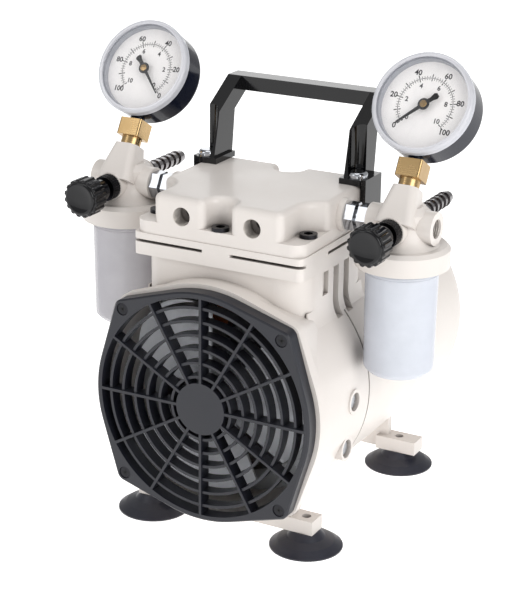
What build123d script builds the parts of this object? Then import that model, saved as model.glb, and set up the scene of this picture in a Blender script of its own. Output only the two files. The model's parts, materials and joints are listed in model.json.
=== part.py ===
from build123d import *

import os
from math import cos, pi, radians, sin, sqrt

# Oil-free diaphragm vacuum pump: a fan-cooled motor in a two-part cast barrel drives an eccentric
# and a connecting rod, which pump a rubber diaphragm under a cast head. Each side of the head
# carries a regulator body with a moisture jar, a valve knob, a hose barb and a leaning gauge.
# Millimetres. +X is the pump's right as seen from its fan end, +Y runs back, +Z is up.
# The origin is under the middle of the pump, on the surface that it stands on.

# ---------------------------------------------------------------- overall layout
OVERALL_LENGTH = 290.0
FRONT_Y = -OVERALL_LENGTH / 2
SHAFT_Z = 101.0
WALL = 5.0
SEAT_GAP = 0.1
RUNNING_GAP = 0.05
MOVING_GAP = 0.5

# ---------------------------------------------------------------- fan guard
BARREL_R = 83.0
GUARD_R = BARREL_R - 3.0
GUARD_SCREW_XY = GUARD_R - 21.0
GUARD_CORNER_R = 6.5
GUARD_DEPTH = 10.0
GUARD_RIM = 3.8
GUARD_HUB_R = 18.0
GUARD_RING_FIRST_R = 22.0
GUARD_RING_STEP = 9.5
GUARD_RINGS = 6
GUARD_RIB = 1.9
GUARD_SPOKES = 12
GUARD_SPOKE_PROUD = 1.2
GUARD_SCREW_R = 2.0
GUARD_SCREW_HEAD_R = 3.9
GUARD_SCREW_LENGTH = 14.0

# ---------------------------------------------------------------- barrel and front housing
BORE_R = BARREL_R - WALL
MOUTH_Y = FRONT_Y + GUARD_DEPTH
MOUTH_LIP = 1.5
MOUTH_DEPTH = 8.0
EAR_LENGTH = 40.0
EAR_SHRINK = 7.5
SEAM_Y = FRONT_Y + 84.0
SEAM_GAP = 1.6

# ---------------------------------------------------------------- head and pedestal
HEAD_WIDTH = 125.0
HEAD_DEPTH = 110.0
HEAD_CORNER_R = 4.5
HEAD_LOBE_R = 9.0
HEAD_LOBE_INSET = 0.8
HEAD_TOP_FILLET = 4.2
LOBE_FILLET = 5.0
HEAD_FRONT_Y = FRONT_Y + 20.0
HEAD_Y = HEAD_FRONT_Y + HEAD_DEPTH / 2
BLOCK_FLANGE = 8.5
HEAD_SLIT = 2.0
HEAD_BASE = 13.0
HEAD_RIM = 4.5
HEAD_RISE = 19.5
HEAD_BASE_Z = 203.5
HEAD_SHOULDER_Z = HEAD_BASE_Z + HEAD_BASE
HEAD_TOP_Z = HEAD_SHOULDER_Z + HEAD_RISE
BLOCK_TOP_Z = HEAD_BASE_Z - HEAD_SLIT
PEDESTAL_TOP_Z = BLOCK_TOP_Z - BLOCK_FLANGE
PEDESTAL_INSET = 2.5
PEDESTAL_CORNER_R = 20.0
PEDESTAL_FILLET = 25.0
PEDESTAL_HALF_X = HEAD_WIDTH / 2 - PEDESTAL_INSET
PEDESTAL_DEPTH = HEAD_DEPTH - 9.0
PEDESTAL_WALL = 7.0
SLOT_WIDTH = 8.0
SLOT_PITCH = 15.5
SLOT_FIRST_Y = HEAD_Y - 15.0
SLOT_BOTTOM_Z = 153.5
SLOT_TOP_Z = PEDESTAL_TOP_Z - 4.0
SLOTS = 3
SHALLOW_SLOT_DEPTH = 3.0
SHALLOW_SLOT_HEIGHT = 16.0
SADDLE_GAP = 0.3

BOLT_R = 3.0
BOLT_HEAD_R = 5.9
BOLT_HEAD_H = 2.6
BOLT_SOCKET_DEPTH = 1.8
CENTRE_BOLT_INSET = 6.5
CORNER_BOLT_X = HEAD_WIDTH / 2 - 6.8
CORNER_BOLT_INSET = 22.0
CENTRE_PAD_R = 12.0
CORNER_PAD_R = 17.0
HANDLE_PAD_R = 10.0
NOTCH_R = 9.5
CORNER_NOTCH_R = 17.0
CORNER_NOTCH_X = HEAD_WIDTH / 2 + 2.0
PORT_X = HEAD_WIDTH / 2 - 36.5
PORT_Z = 223.0
PORT_R = 6.4
PORT_DEPTH = 13.0
PLENUM_SIZE = (28.0, 44.0, 13.0)
SIDE_PORT_Y = FRONT_Y + 80.0
SIDE_BOSS_R = 11.0
SIDE_BOSS_PROUD = 3.0

# ---------------------------------------------------------------- diaphragm and valves
DIAPHRAGM_R = HEAD_DEPTH / 2 - CENTRE_BOLT_INSET - 5.5
CHAMBER_R = DIAPHRAGM_R - 7.0
DIAPHRAGM_T = HEAD_SLIT
WASHER_R = CHAMBER_R - 14.0
WASHER_T = 2.2
CENTRE_SCREW_R = 4.0
VALVE_PLATE_T = 9.0
CHAMBER_HEIGHT = 5.0
REED_SIZE = (12.0, 34.0, 0.4)
REED_X = 20.0
REED_SCREW_R = 1.5
VALVE_HOLE_R = 3.5

# ---------------------------------------------------------------- crank and rod
THROW = 3.5
SHAFT_R = 7.5
SHAFT_END_R = 6.0
ECCENTRIC_R = 15.0
CRANK_Y = HEAD_Y + 1.0
ROD_WIDTH = 10.0
ROD_BEARING_R = 21.0
ROD_BIG_END_R = 27.0
ROD_SHANK = 16.0
ROD_PLATE_T = 4.0
COUNTERWEIGHT_T = 3.6
COUNTERWEIGHT_R = 36.0

# ---------------------------------------------------------------- motor
BEARING_R = 17.5
BEARING_W = 11.0
BRACKET_W = 12.0
BRACKET_Y = CRANK_Y - ROD_WIDTH / 2 - BRACKET_W - 5.0
TIE_BOLT_PCR = BORE_R - 8.0
TIE_BOLT_R = 2.5
BRACKET_RING_R = TIE_BOLT_PCR - 7.0
STATOR_Y = CRANK_Y + 42.0
STATOR_LENGTH = 70.0
STATOR_R = TIE_BOLT_PCR - 8.0
STATOR_BORE_R = STATOR_R - 20.0
AIR_GAP = 0.6
WINDING_LENGTH = 12.0
RAIL_WIDTH = 12.0
DOME_SHOULDER_R = 44.0
DOME_SHOULDER_TURN = 62.0
DOME_CAP_TURN = 90.0 - DOME_SHOULDER_TURN
DOME_CAP_R = (BARREL_R - DOME_SHOULDER_R * (1 - cos(radians(DOME_SHOULDER_TURN)))) / sin(radians(DOME_CAP_TURN))
DOME_LENGTH = DOME_SHOULDER_R * sin(radians(DOME_SHOULDER_TURN)) + DOME_CAP_R * (1 - cos(radians(DOME_CAP_TURN)))
DOME_Y = FRONT_Y + OVERALL_LENGTH - DOME_LENGTH
SPIDER_Y = FRONT_Y + 228.0
SPIDER_T = 7.0
SPIDER_ARM = 15.0
REAR_BOSS_R = 23.0
REAR_BOSS_DEPTH = 18.0
SHAFT_FRONT_Y = FRONT_Y + 16.0
SHAFT_REAR_Y = SPIDER_Y + 15.0
FAN_R = BORE_R - 5.0
FAN_HUB_R = 20.0
FAN_Y = FRONT_Y + 24.0
FAN_BLADES = 3
FAN_FIRST_ANGLE = 11.5
FAN_HUB_LENGTH = 18.0
FAN_PITCH = 18.0
FAN_BLADE_SWEEP = 84.0
FAN_BLADE_T = 1.8
SIDE_SCREW_Y = BRACKET_Y + BRACKET_W / 2
SIDE_SCREW_Z = (102.0, 67.0)
SIDE_SCREW_R = 2.5
SIDE_SCREW_HEAD_R = 4.4
SIDE_RECESS_R = 6.4
SIDE_RECESS_DEPTH = 4.0
SIDE_SEAT_WALL = 2.0

# ---------------------------------------------------------------- feet
FOOT_X = BARREL_R - 23.0
FOOT_FRONT_Y = FRONT_Y + 39.5
FOOT_REAR_Y = FRONT_Y + 192.0
LUG_BOTTOM_Z = 11.5
LUG_T = 10.0
LUG_WIDTH = 15.0
LUG_REACH = 8.0
LUG_WEB = 6.0
CUP_R = 25.0
CUP_HEIGHT = 8.0
STUD_R = 3.0

# ---------------------------------------------------------------- regulator bodies
TRAP_X = BARREL_R + 22.0
TRAP_Y = SIDE_PORT_Y
LID_R = 31.0
LID_BOTTOM_Z = 196.0
LID_HEIGHT = 14.5
LID_RECESS = 10.0
TOWER_R = 17.0
TOWER_FOOT_R = 24.0
TOWER_FLARE_Z = 226.0
TOWER_TOP_Z = 236.0
CROSS_BOSS_R = 11.0
CROSS_REACH = 23.0
FRONT_BOSS_R = 9.5
FRONT_BOSS_REACH = 22.0
REAR_BOSS_REACH = 22.0
TRAP_PASSAGE_R = 4.0
CROSS_PASSAGE_R = PORT_R - 0.6
JAR_R = 24.0
JAR_WALL = 1.8
JAR_BOTTOM_Z = 122.0
JAR_TAPER_R = 0.8
GASKET_T = 1.5
NECK_TILT = 31.0
NECK_TOP_Y = FRONT_Y + 84.5
NECK_TOP_Z = 245.5
NECK_SIZE = 17.5
NECK_ROOT_SIZE = 27.0
NECK_LENGTH = 27.0
NECK_CORNER_R = 5.0

BARB_LENGTH = 50.0
BARB_HEX = 13.0
BARB_HEX_T = 5.0
BARB_R = 5.3
BARB_NECK_R = 4.3
BARB_BORE_R = 2.8
BARB_RINGS = 6
BARB_STUB = 9.0

BUSH_R = 8.5
BUSH_LENGTH = 8.0
KNOB_R = 13.2
KNOB_LENGTH = 12.0
KNOB_HUB_R = 7.4
KNOB_HUB_LENGTH = 13.0
KNOB_SCALLOPS = 16
KNOB_SCALLOP_R = 1.9
SPINDLE_R = 3.0
SPINDLE_PITCH = 1.0
VALVE_TURNS = 2

NIPPLE_HEX = 17.0
NIPPLE_HEX_T = 7.0
NIPPLE_THREAD = 10.0

# ---------------------------------------------------------------- gauges
ADAPTER_HEX = 14.0
ADAPTER_T = 6.0
SOCKET_SIZE = 17.0
SOCKET_T = 12.0
GAUGE_STEM_R = 5.0
GAUGE_STEM_LENGTH = 8.0
CASE_R = 33.4
CASE_DEPTH = 22.0
CASE_WALL = 1.6
STEM_SETBACK = 14.0
LENS_R = 34.2
LENS_RIM = 6.0
LENS_T = 1.2
DIAL_SETBACK = 7.5
DIAL_T = 0.8
POINTER_SETBACK = 5.0
POINTER_T = 0.6
POINTER_LENGTH = 22.0
POINTER_TAIL = 11.0
POINTER_ZERO = {"left": 139.0, "right": -132.0}

# ---------------------------------------------------------------- handle
HANDLE_HALF_X = HEAD_WIDTH / 2 - 2.5
HANDLE_POST = 10.5
HANDLE_FOOT_T = 4.0
HANDLE_FOOT_X = HEAD_WIDTH / 2 - 15.5
HANDLE_SCREW_X = HEAD_WIDTH / 2 - 5.0
HANDLE_SCREW_INSET = 19.5
HANDLE_SCREW_HEAD_R = 6.6
BAR_DEPTH = 14.0
BAR_HEIGHT = 10.0
BAR_BACK_Y = FRONT_Y + 157.0
BAR_TOP_Z = 290.5
HOOK_T = 3.2
HOOK_DROP = 18.0
HOOK_LENGTH = 25.0
HOOK_Y = HEAD_FRONT_Y + HEAD_DEPTH - 12.5

# ---------------------------------------------------------------- cable gland
GLAND_Y = FRONT_Y + 212.0
GLAND_R = 8.0
GLAND_LENGTH = 15.0

UP = (Align.CENTER, Align.CENTER, Align.MIN)
BACK = (Align.CENTER, Align.CENTER, Align.MAX)
SIDES = {"left": -1, "right": 1}
SHAFT_AXIS = Axis((0, 0, SHAFT_Z), (0, 1, 0))


def save(builder, label):
    """Label a finished piece and write its STEP file."""
    builder.part.label = label
    export_step(builder.part, f"parts/{label}.step")


def facing_front(y, x=0.0, z=SHAFT_Z):
    """Plane seen from the front: local x is +X and local y is +Z."""
    return Plane(origin=(x, y, z), x_dir=(1, 0, 0), z_dir=(0, -1, 0))


def facing_side(x, y, z, side=1):
    """Plane on the pump's side: local x is +Y or -Y, and local y is +Z."""
    return Plane(origin=(x, y, z), x_dir=(0, side, 0), z_dir=(side, 0, 0))


def cornered_outline(round_r, corner_xy, corner_r):
    """Tight outline round a circle and four smaller circles at its corners."""
    Circle(round_r)
    with GridLocations(2 * corner_xy, 2 * corner_xy, 2, 2):
        Circle(corner_r)
    make_hull()


def head_bolt_points():
    """Centres of the four socket bolts of the head: two mid-edge, two at the front corners."""
    front = HEAD_FRONT_Y + CENTRE_BOLT_INSET
    rear = HEAD_FRONT_Y + HEAD_DEPTH - CENTRE_BOLT_INSET
    corner = HEAD_FRONT_Y + CORNER_BOLT_INSET
    return [(0, front), (0, rear), (-CORNER_BOLT_X, corner), (CORNER_BOLT_X, corner)]


def handle_screw_points():
    """Centres of the two screws that clamp the handle's feet on the head's rear corners."""
    y = HEAD_FRONT_Y + HEAD_DEPTH - HANDLE_SCREW_INSET
    return [(-HANDLE_SCREW_X, y), (HANDLE_SCREW_X, y)]


def is_lobe_corner(vertex):
    """Whether a vertex of the head's raised outline is a sharp corner beside a notch."""
    on_front = vertex.Y < HEAD_FRONT_Y + HEAD_LOBE_INSET + 0.01
    on_rear = vertex.Y > HEAD_FRONT_Y + HEAD_DEPTH - HEAD_LOBE_INSET - 0.01
    on_side = abs(vertex.X) > HEAD_WIDTH / 2 - HEAD_LOBE_INSET - 0.01
    return on_front or (on_rear and abs(vertex.X) < 2 * NOTCH_R) or (on_side and vertex.Y < HEAD_Y)


def slot_points():
    """Middles of the cooling slots along the pedestal's side."""
    return [SLOT_FIRST_Y + index * SLOT_PITCH for index in range(SLOTS)]


def side_screw_points():
    """Side, height and seat x of the four bracket screws; the seat keeps a floor over the bore."""
    points = []
    for side in SIDES.values():
        for z in SIDE_SCREW_Z:
            nearest = max(abs(z - SHAFT_Z) - SIDE_RECESS_R, 0.0)
            points.append((side, z, sqrt(BORE_R**2 - nearest**2) + SIDE_SEAT_WALL))
    return points


# ================================================================ fan guard
with BuildPart() as fan_guard:
    with BuildSketch(facing_front(FRONT_Y)):
        cornered_outline(GUARD_R, GUARD_SCREW_XY, GUARD_CORNER_R)
    extrude(amount=-GUARD_DEPTH)
    chamfer(fan_guard.faces().sort_by(Axis.Y)[0].edges(), 1.0)
    with Locations(facing_front(FRONT_Y)):
        Cylinder(GUARD_R - GUARD_RIM, GUARD_DEPTH, align=BACK, mode=Mode.SUBTRACT)
    rib_depth = GUARD_DEPTH - GUARD_SPOKE_PROUD
    with BuildSketch(facing_front(FRONT_Y + GUARD_SPOKE_PROUD)):
        for index in reversed(range(GUARD_RINGS)):
            ring_r = GUARD_RING_FIRST_R + index * GUARD_RING_STEP
            Circle(ring_r + GUARD_RIB / 2)
            Circle(ring_r - GUARD_RIB / 2, mode=Mode.SUBTRACT)
        Circle(GUARD_HUB_R)
    extrude(amount=-rib_depth)
    with BuildSketch(facing_front(FRONT_Y)) as spokes:
        spoke_length = GUARD_R - GUARD_RIM / 2
        with PolarLocations(spoke_length / 2, GUARD_SPOKES):
            Rectangle(spoke_length, GUARD_RIB)
        Circle(GUARD_HUB_R)
        Circle(GUARD_HUB_R - GUARD_RIB, mode=Mode.SUBTRACT)
    extrude(amount=-GUARD_DEPTH)
    with BuildSketch(facing_front(FRONT_Y)):
        Circle(GUARD_HUB_R)
    extrude(amount=-rib_depth / 2)
    with Locations(facing_front(FRONT_Y)):
        with GridLocations(2 * GUARD_SCREW_XY, 2 * GUARD_SCREW_XY, 2, 2):
            CounterBoreHole(GUARD_SCREW_R + SEAT_GAP, GUARD_SCREW_HEAD_R + 0.4, 3.0)
save(fan_guard, "fan_guard")

with BuildPart() as guard_screws:
    with Locations(facing_front(FRONT_Y + 3.0)):
        with GridLocations(2 * GUARD_SCREW_XY, 2 * GUARD_SCREW_XY, 2, 2):
            Cylinder(GUARD_SCREW_R, GUARD_SCREW_LENGTH, align=BACK)
            Cylinder(GUARD_SCREW_HEAD_R, 2.4, align=UP)
save(guard_screws, "guard_screws")

# ================================================================ front housing
with BuildPart() as front_housing:
    corner_r = GUARD_CORNER_R + MOUTH_LIP
    with BuildSketch(facing_front(MOUTH_Y)):
        cornered_outline(BARREL_R, GUARD_SCREW_XY, corner_r)
    extrude(amount=-MOUTH_DEPTH)
    with BuildSketch(facing_front(MOUTH_Y + MOUTH_DEPTH)):
        cornered_outline(BARREL_R, GUARD_SCREW_XY, corner_r)
    with BuildSketch(facing_front(MOUTH_Y + MOUTH_DEPTH + EAR_LENGTH)):
        cornered_outline(BARREL_R - 2 * MOUTH_LIP, GUARD_SCREW_XY - EAR_SHRINK, corner_r)
    loft(ruled=True)
    front_length = SEAM_Y - SEAM_GAP / 2 - MOUTH_Y
    with Locations(facing_front(MOUTH_Y)):
        Cylinder(BARREL_R, front_length, align=BACK)
    # pedestal that carries the head, blended into the barrel, with its flange
    with BuildSketch(Plane.XY.offset(SHAFT_Z)):
        with Locations((0, HEAD_Y)):
            RectangleRounded(2 * PEDESTAL_HALF_X, PEDESTAL_DEPTH, PEDESTAL_CORNER_R)
    extrude(amount=PEDESTAL_TOP_Z - SHAFT_Z)
    with BuildSketch(facing_front(HEAD_Y - PEDESTAL_DEPTH / 2 + PEDESTAL_CORNER_R / 2)):
        root_r = BARREL_R - SADDLE_GAP + PEDESTAL_FILLET
        blend_x = PEDESTAL_HALF_X + PEDESTAL_FILLET
        blend_z = sqrt(root_r**2 - blend_x**2)
        share = 1 - PEDESTAL_FILLET / root_r
        for side in SIDES.values():
            inner_x = side * (PEDESTAL_HALF_X - 1.0)
            with BuildLine():
                Polyline((inner_x, blend_z), (side * blend_x, blend_z),
                         (side * blend_x * share, blend_z * share), (inner_x, blend_z * share),
                         (inner_x, blend_z))
            make_face()
            with Locations((side * blend_x, blend_z)):
                Circle(PEDESTAL_FILLET, mode=Mode.SUBTRACT)
    extrude(amount=PEDESTAL_CORNER_R - PEDESTAL_DEPTH)
    with BuildSketch(Plane.XY.offset(PEDESTAL_TOP_Z)):
        with Locations((0, HEAD_Y)):
            RectangleRounded(HEAD_WIDTH, HEAD_DEPTH, HEAD_CORNER_R)
    extrude(amount=BLOCK_FLANGE)
    # pads that bridge the slit under the head at its bolts
    with BuildSketch(Plane.XY.offset(BLOCK_TOP_Z)):
        with Locations(*head_bolt_points()[:2]):
            Circle(CENTRE_PAD_R)
        with Locations(*head_bolt_points()[2:]):
            Circle(CORNER_PAD_R)
        with Locations(*handle_screw_points()):
            Circle(HANDLE_PAD_R)
        with Locations((0, HEAD_Y)):
            RectangleRounded(HEAD_WIDTH, HEAD_DEPTH, HEAD_CORNER_R, mode=Mode.INTERSECT)
            Circle(DIAPHRAGM_R + SEAT_GAP, mode=Mode.SUBTRACT)
    extrude(amount=HEAD_SLIT)
    # the rear barrel passes under the pedestal's overhang
    with Locations(facing_front(SEAM_Y - SEAM_GAP / 2)):
        Cylinder(BARREL_R + SADDLE_GAP, OVERALL_LENGTH, align=BACK, mode=Mode.SUBTRACT)
    # lugs and their web, low under the barrel
    with Locations((0, FOOT_FRONT_Y, LUG_BOTTOM_Z)):
        Box(2 * (FOOT_X + LUG_REACH), LUG_WIDTH, LUG_T, align=UP)
        Box(2 * (FOOT_X - LUG_REACH), LUG_WEB, SHAFT_Z - LUG_BOTTOM_Z, align=UP)
    # round bosses for the bracket screws
    for side, z, seat_x in side_screw_points():
        with Locations(facing_side(side * (seat_x + SIDE_RECESS_DEPTH), SIDE_SCREW_Y, z, side)):
            Cylinder(SIDE_RECESS_R + 2.2, SIDE_RECESS_DEPTH + 2 * WALL, align=BACK)
    # bore, chimney for the rod and round mouth under the diaphragm
    with Locations(facing_front(MOUTH_Y)):
        Cylinder(BORE_R, front_length, align=BACK, mode=Mode.SUBTRACT)
    with BuildSketch(Plane.XY.offset(SHAFT_Z)):
        with Locations((0, HEAD_Y)):
            chimney_x = 2 * (PEDESTAL_HALF_X - PEDESTAL_WALL)
            RectangleRounded(chimney_x, PEDESTAL_DEPTH - 2 * PEDESTAL_WALL, PEDESTAL_CORNER_R / 2)
    extrude(amount=PEDESTAL_TOP_Z - SHAFT_Z, mode=Mode.SUBTRACT)
    with Locations((0, HEAD_Y, PEDESTAL_TOP_Z)):
        Cylinder(CHAMBER_R, BLOCK_FLANGE, align=UP, mode=Mode.SUBTRACT)
    # cooling slots through both side walls; the first is only a shallow recess
    for side in SIDES.values():
        for slot_y in slot_points()[1:]:
            depth = PEDESTAL_WALL + PEDESTAL_FILLET
            slot_x = PEDESTAL_HALF_X - PEDESTAL_WALL + depth / 2
            with Locations((side * slot_x, slot_y, (SLOT_BOTTOM_Z + SLOT_TOP_Z) / 2)):
                Box(depth, SLOT_WIDTH, SLOT_TOP_Z - SLOT_BOTTOM_Z, mode=Mode.SUBTRACT)
        with Locations((side * PEDESTAL_HALF_X, slot_points()[0], SLOT_TOP_Z - SHALLOW_SLOT_HEIGHT / 2)):
            Box(2 * SHALLOW_SLOT_DEPTH, SLOT_WIDTH, SHALLOW_SLOT_HEIGHT, mode=Mode.SUBTRACT)
    # threaded and clearance holes
    with Locations(Plane.XY.offset(HEAD_BASE_Z)):
        with Locations(*head_bolt_points(), *handle_screw_points()):
            Cylinder(BOLT_R + SEAT_GAP, BLOCK_FLANGE + HEAD_SLIT, align=BACK, mode=Mode.SUBTRACT)
    for side, z, seat_x in side_screw_points():
        with Locations(facing_side(side * (seat_x + SIDE_RECESS_DEPTH), SIDE_SCREW_Y, z, side)):
            CounterBoreHole(SIDE_SCREW_R + SEAT_GAP, SIDE_RECESS_R, SIDE_RECESS_DEPTH, 5 * WALL)
    with Locations(facing_front(MOUTH_Y)):
        with GridLocations(2 * GUARD_SCREW_XY, 2 * GUARD_SCREW_XY, 2, 2):
            Hole(GUARD_SCREW_R + SEAT_GAP, GUARD_SCREW_LENGTH)
    with Locations((0, FOOT_FRONT_Y, LUG_BOTTOM_Z + LUG_T)):
        with GridLocations(2 * FOOT_X, 0, 2, 1):
            Hole(STUD_R + SEAT_GAP, LUG_T)
save(front_housing, "front_housing")

# ================================================================ rear housing
with BuildPart() as rear_housing:
    rear_front_y = SEAM_Y + SEAM_GAP / 2
    rear_end_y = FRONT_Y + OVERALL_LENGTH
    with BuildSketch(Plane.YZ):
        with BuildLine():
            Polyline((DOME_Y, SHAFT_Z + BORE_R), (rear_front_y, SHAFT_Z + BORE_R),
                     (rear_front_y, SHAFT_Z + BARREL_R), (DOME_Y, SHAFT_Z + BARREL_R))
            cap_centre = (rear_end_y - DOME_CAP_R, SHAFT_Z)
            for skin in (0.0, WALL):
                start = (DOME_Y, SHAFT_Z + BARREL_R - skin)
                JernArc(start, (1, 0), DOME_SHOULDER_R - skin, -DOME_SHOULDER_TURN)
                CenterArc(cap_centre, DOME_CAP_R - skin, 0, DOME_CAP_TURN)
            Line((rear_end_y, SHAFT_Z), (rear_end_y - WALL, SHAFT_Z))
        make_face()
    revolve(axis=SHAFT_AXIS)
    with BuildSketch(facing_front(FOOT_REAR_Y - LUG_WEB / 2)):
        with Locations((0, LUG_BOTTOM_Z - SHAFT_Z)):
            Rectangle(2 * (FOOT_X - LUG_REACH), SHAFT_Z - LUG_BOTTOM_Z, align=(Align.CENTER, Align.MIN))
        Circle(BARREL_R - 1.0, mode=Mode.SUBTRACT)
    extrude(amount=-LUG_WEB)
    with Locations((0, FOOT_REAR_Y, LUG_BOTTOM_Z)):
        for side in SIDES.values():
            with Locations((side * FOOT_X, 0)):
                Box(2 * LUG_REACH + LUG_WIDTH, LUG_WIDTH, LUG_T, align=UP)
    # rails that grip the stator
    with BuildSketch(facing_front(STATOR_Y - 2.0)):
        rail_r = STATOR_R + SEAT_GAP
        with PolarLocations((rail_r + BORE_R + 1.0) / 2, 4):
            Rectangle(BORE_R + 1.0 - rail_r, RAIL_WIDTH)
        Circle(rail_r, mode=Mode.SUBTRACT)
    extrude(amount=-(STATOR_LENGTH + 4.0))
    # spider with the rear bearing's boss
    with BuildSketch(facing_front(SPIDER_Y)):
        with PolarLocations(BORE_R / 2, 4, start_angle=45):
            Rectangle(BORE_R + 1.0, SPIDER_ARM)
        Circle(REAR_BOSS_R)
    extrude(amount=-SPIDER_T)
    with Locations(facing_front(SPIDER_Y)):
        Cylinder(REAR_BOSS_R, REAR_BOSS_DEPTH, align=BACK)
        Cylinder(BEARING_R + RUNNING_GAP, BEARING_W + 0.2, align=BACK, mode=Mode.SUBTRACT)
        Cylinder(SHAFT_R + 2.0, REAR_BOSS_DEPTH, align=BACK, mode=Mode.SUBTRACT)
        with PolarLocations(TIE_BOLT_PCR, 4, start_angle=45):
            Cylinder(TIE_BOLT_R + SEAT_GAP, SPIDER_T, align=BACK, mode=Mode.SUBTRACT)
    # cooling slots run on into the barrel's shoulder
    for side in SIDES.values():
        for slot_y in slot_points()[1:]:
            inner_x = PEDESTAL_HALF_X - PEDESTAL_WALL
            with Locations((side * (inner_x + BARREL_R / 2), slot_y, (SLOT_BOTTOM_Z + SLOT_TOP_Z) / 2)):
                Box(BARREL_R, SLOT_WIDTH, SLOT_TOP_Z - SLOT_BOTTOM_Z, mode=Mode.SUBTRACT)
    # air outlet slots in the end dome
    with BuildSketch(facing_front(rear_end_y)):
        with PolarLocations(36.0, 10):
            SlotOverall(26.0, 5.0)
    extrude(amount=rear_end_y - DOME_Y - 14.0, mode=Mode.SUBTRACT)
    with Locations(facing_side(-BARREL_R - 2.0, GLAND_Y, SHAFT_Z, -1)):
        Cylinder(GLAND_R - 2.5, 4 * WALL, mode=Mode.SUBTRACT)
    with Locations((0, FOOT_REAR_Y, LUG_BOTTOM_Z + LUG_T)):
        with GridLocations(2 * FOOT_X, 0, 2, 1):
            Hole(STUD_R + SEAT_GAP, LUG_T)
save(rear_housing, "rear_housing")

with BuildPart() as cable_gland:
    gland_plane = facing_side(-BARREL_R, GLAND_Y, SHAFT_Z, -1)
    with BuildSketch(gland_plane):
        RegularPolygon(GLAND_R * 1.12, 6)
    extrude(amount=5.0)
    with Locations(gland_plane.offset(5.0)):
        Cone(GLAND_R, GLAND_R - 2.0, GLAND_LENGTH - 5.0, align=UP)
    with Locations(gland_plane):
        Cylinder(GLAND_R - 2.6, WALL + 3.0, align=BACK)
        Cylinder(3.2, 4 * GLAND_LENGTH, mode=Mode.SUBTRACT)
save(cable_gland, "cable_gland")

# ================================================================ bearing bracket
with BuildPart() as bearing_bracket:
    with BuildSketch(facing_front(BRACKET_Y)):
        Circle(BORE_R - SEAT_GAP)
        Circle(BRACKET_RING_R, mode=Mode.SUBTRACT)
        with PolarLocations(BRACKET_RING_R / 2, 4, start_angle=45):
            Rectangle(BRACKET_RING_R + 4.0, SPIDER_ARM)
        Circle(REAR_BOSS_R)
        Circle(BEARING_R + RUNNING_GAP, mode=Mode.SUBTRACT)
    extrude(amount=-BRACKET_W)
    with Locations(facing_front(BRACKET_Y)):
        with PolarLocations(TIE_BOLT_PCR, 4, start_angle=45):
            Hole(TIE_BOLT_R + SEAT_GAP, BRACKET_W)
    for side, z, seat_x in side_screw_points():
        with Locations(facing_side(side * seat_x, SIDE_SCREW_Y, z, side)):
            Hole(SIDE_SCREW_R + SEAT_GAP, 3 * WALL)
save(bearing_bracket, "bearing_bracket")

with BuildPart() as bracket_screws:
    for side, z, seat_x in side_screw_points():
        with Locations(facing_side(side * seat_x, SIDE_SCREW_Y, z, side)):
            Cylinder(SIDE_SCREW_R, 2.8 * WALL, align=BACK)
            Cylinder(SIDE_SCREW_HEAD_R, SIDE_RECESS_DEPTH / 2, align=UP)
save(bracket_screws, "bracket_screws")

with BuildPart() as tie_bolts:
    with Locations(facing_front(BRACKET_Y)):
        with PolarLocations(TIE_BOLT_PCR, 4, start_angle=45):
            Cylinder(TIE_BOLT_R, SPIDER_Y + SPIDER_T - BRACKET_Y, align=BACK)
            Cylinder(TIE_BOLT_R * 1.8, TIE_BOLT_R * 1.4, align=UP)
save(tie_bolts, "tie_bolts")

# ================================================================ motor
with BuildPart() as stator_core:
    with BuildSketch(facing_front(STATOR_Y)):
        Circle(STATOR_R)
        Circle(STATOR_BORE_R, mode=Mode.SUBTRACT)
        with PolarLocations(STATOR_BORE_R + 6.0, 12):
            Rectangle(14.0, 5.0, mode=Mode.SUBTRACT)
    extrude(amount=-STATOR_LENGTH)
save(stator_core, "stator_core")

with BuildPart() as stator_windings:
    for winding_y in (STATOR_Y - WINDING_LENGTH, STATOR_Y + STATOR_LENGTH):
        with BuildSketch(facing_front(winding_y)):
            Circle(STATOR_R - 5.0)
            Circle(STATOR_BORE_R + 1.5, mode=Mode.SUBTRACT)
        extrude(amount=-WINDING_LENGTH)
save(stator_windings, "stator_windings")

with BuildPart() as rotor_core:
    with BuildSketch(facing_front(STATOR_Y)):
        Circle(STATOR_BORE_R - AIR_GAP)
        Circle(SHAFT_R, mode=Mode.SUBTRACT)
    extrude(amount=-STATOR_LENGTH)
save(rotor_core, "rotor_core")

with BuildPart() as shaft:
    with BuildSketch(facing_front(BRACKET_Y)):
        Circle(SHAFT_R)
    extrude(amount=-(SHAFT_REAR_Y - BRACKET_Y))
    with BuildSketch(facing_front(SHAFT_FRONT_Y)):
        Circle(SHAFT_END_R)
    extrude(amount=-(BRACKET_Y - SHAFT_FRONT_Y))
save(shaft, "shaft")

BEARING_SEATS = {"front_bearing": BRACKET_Y + (BRACKET_W - BEARING_W) / 2, "rear_bearing": SPIDER_Y}
for label, seat_y in BEARING_SEATS.items():
    with BuildPart() as bearing:
        with BuildSketch(facing_front(seat_y)):
            Circle(BEARING_R)
            Circle(SHAFT_R + RUNNING_GAP, mode=Mode.SUBTRACT)
        extrude(amount=-BEARING_W)
    save(bearing, label)

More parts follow.
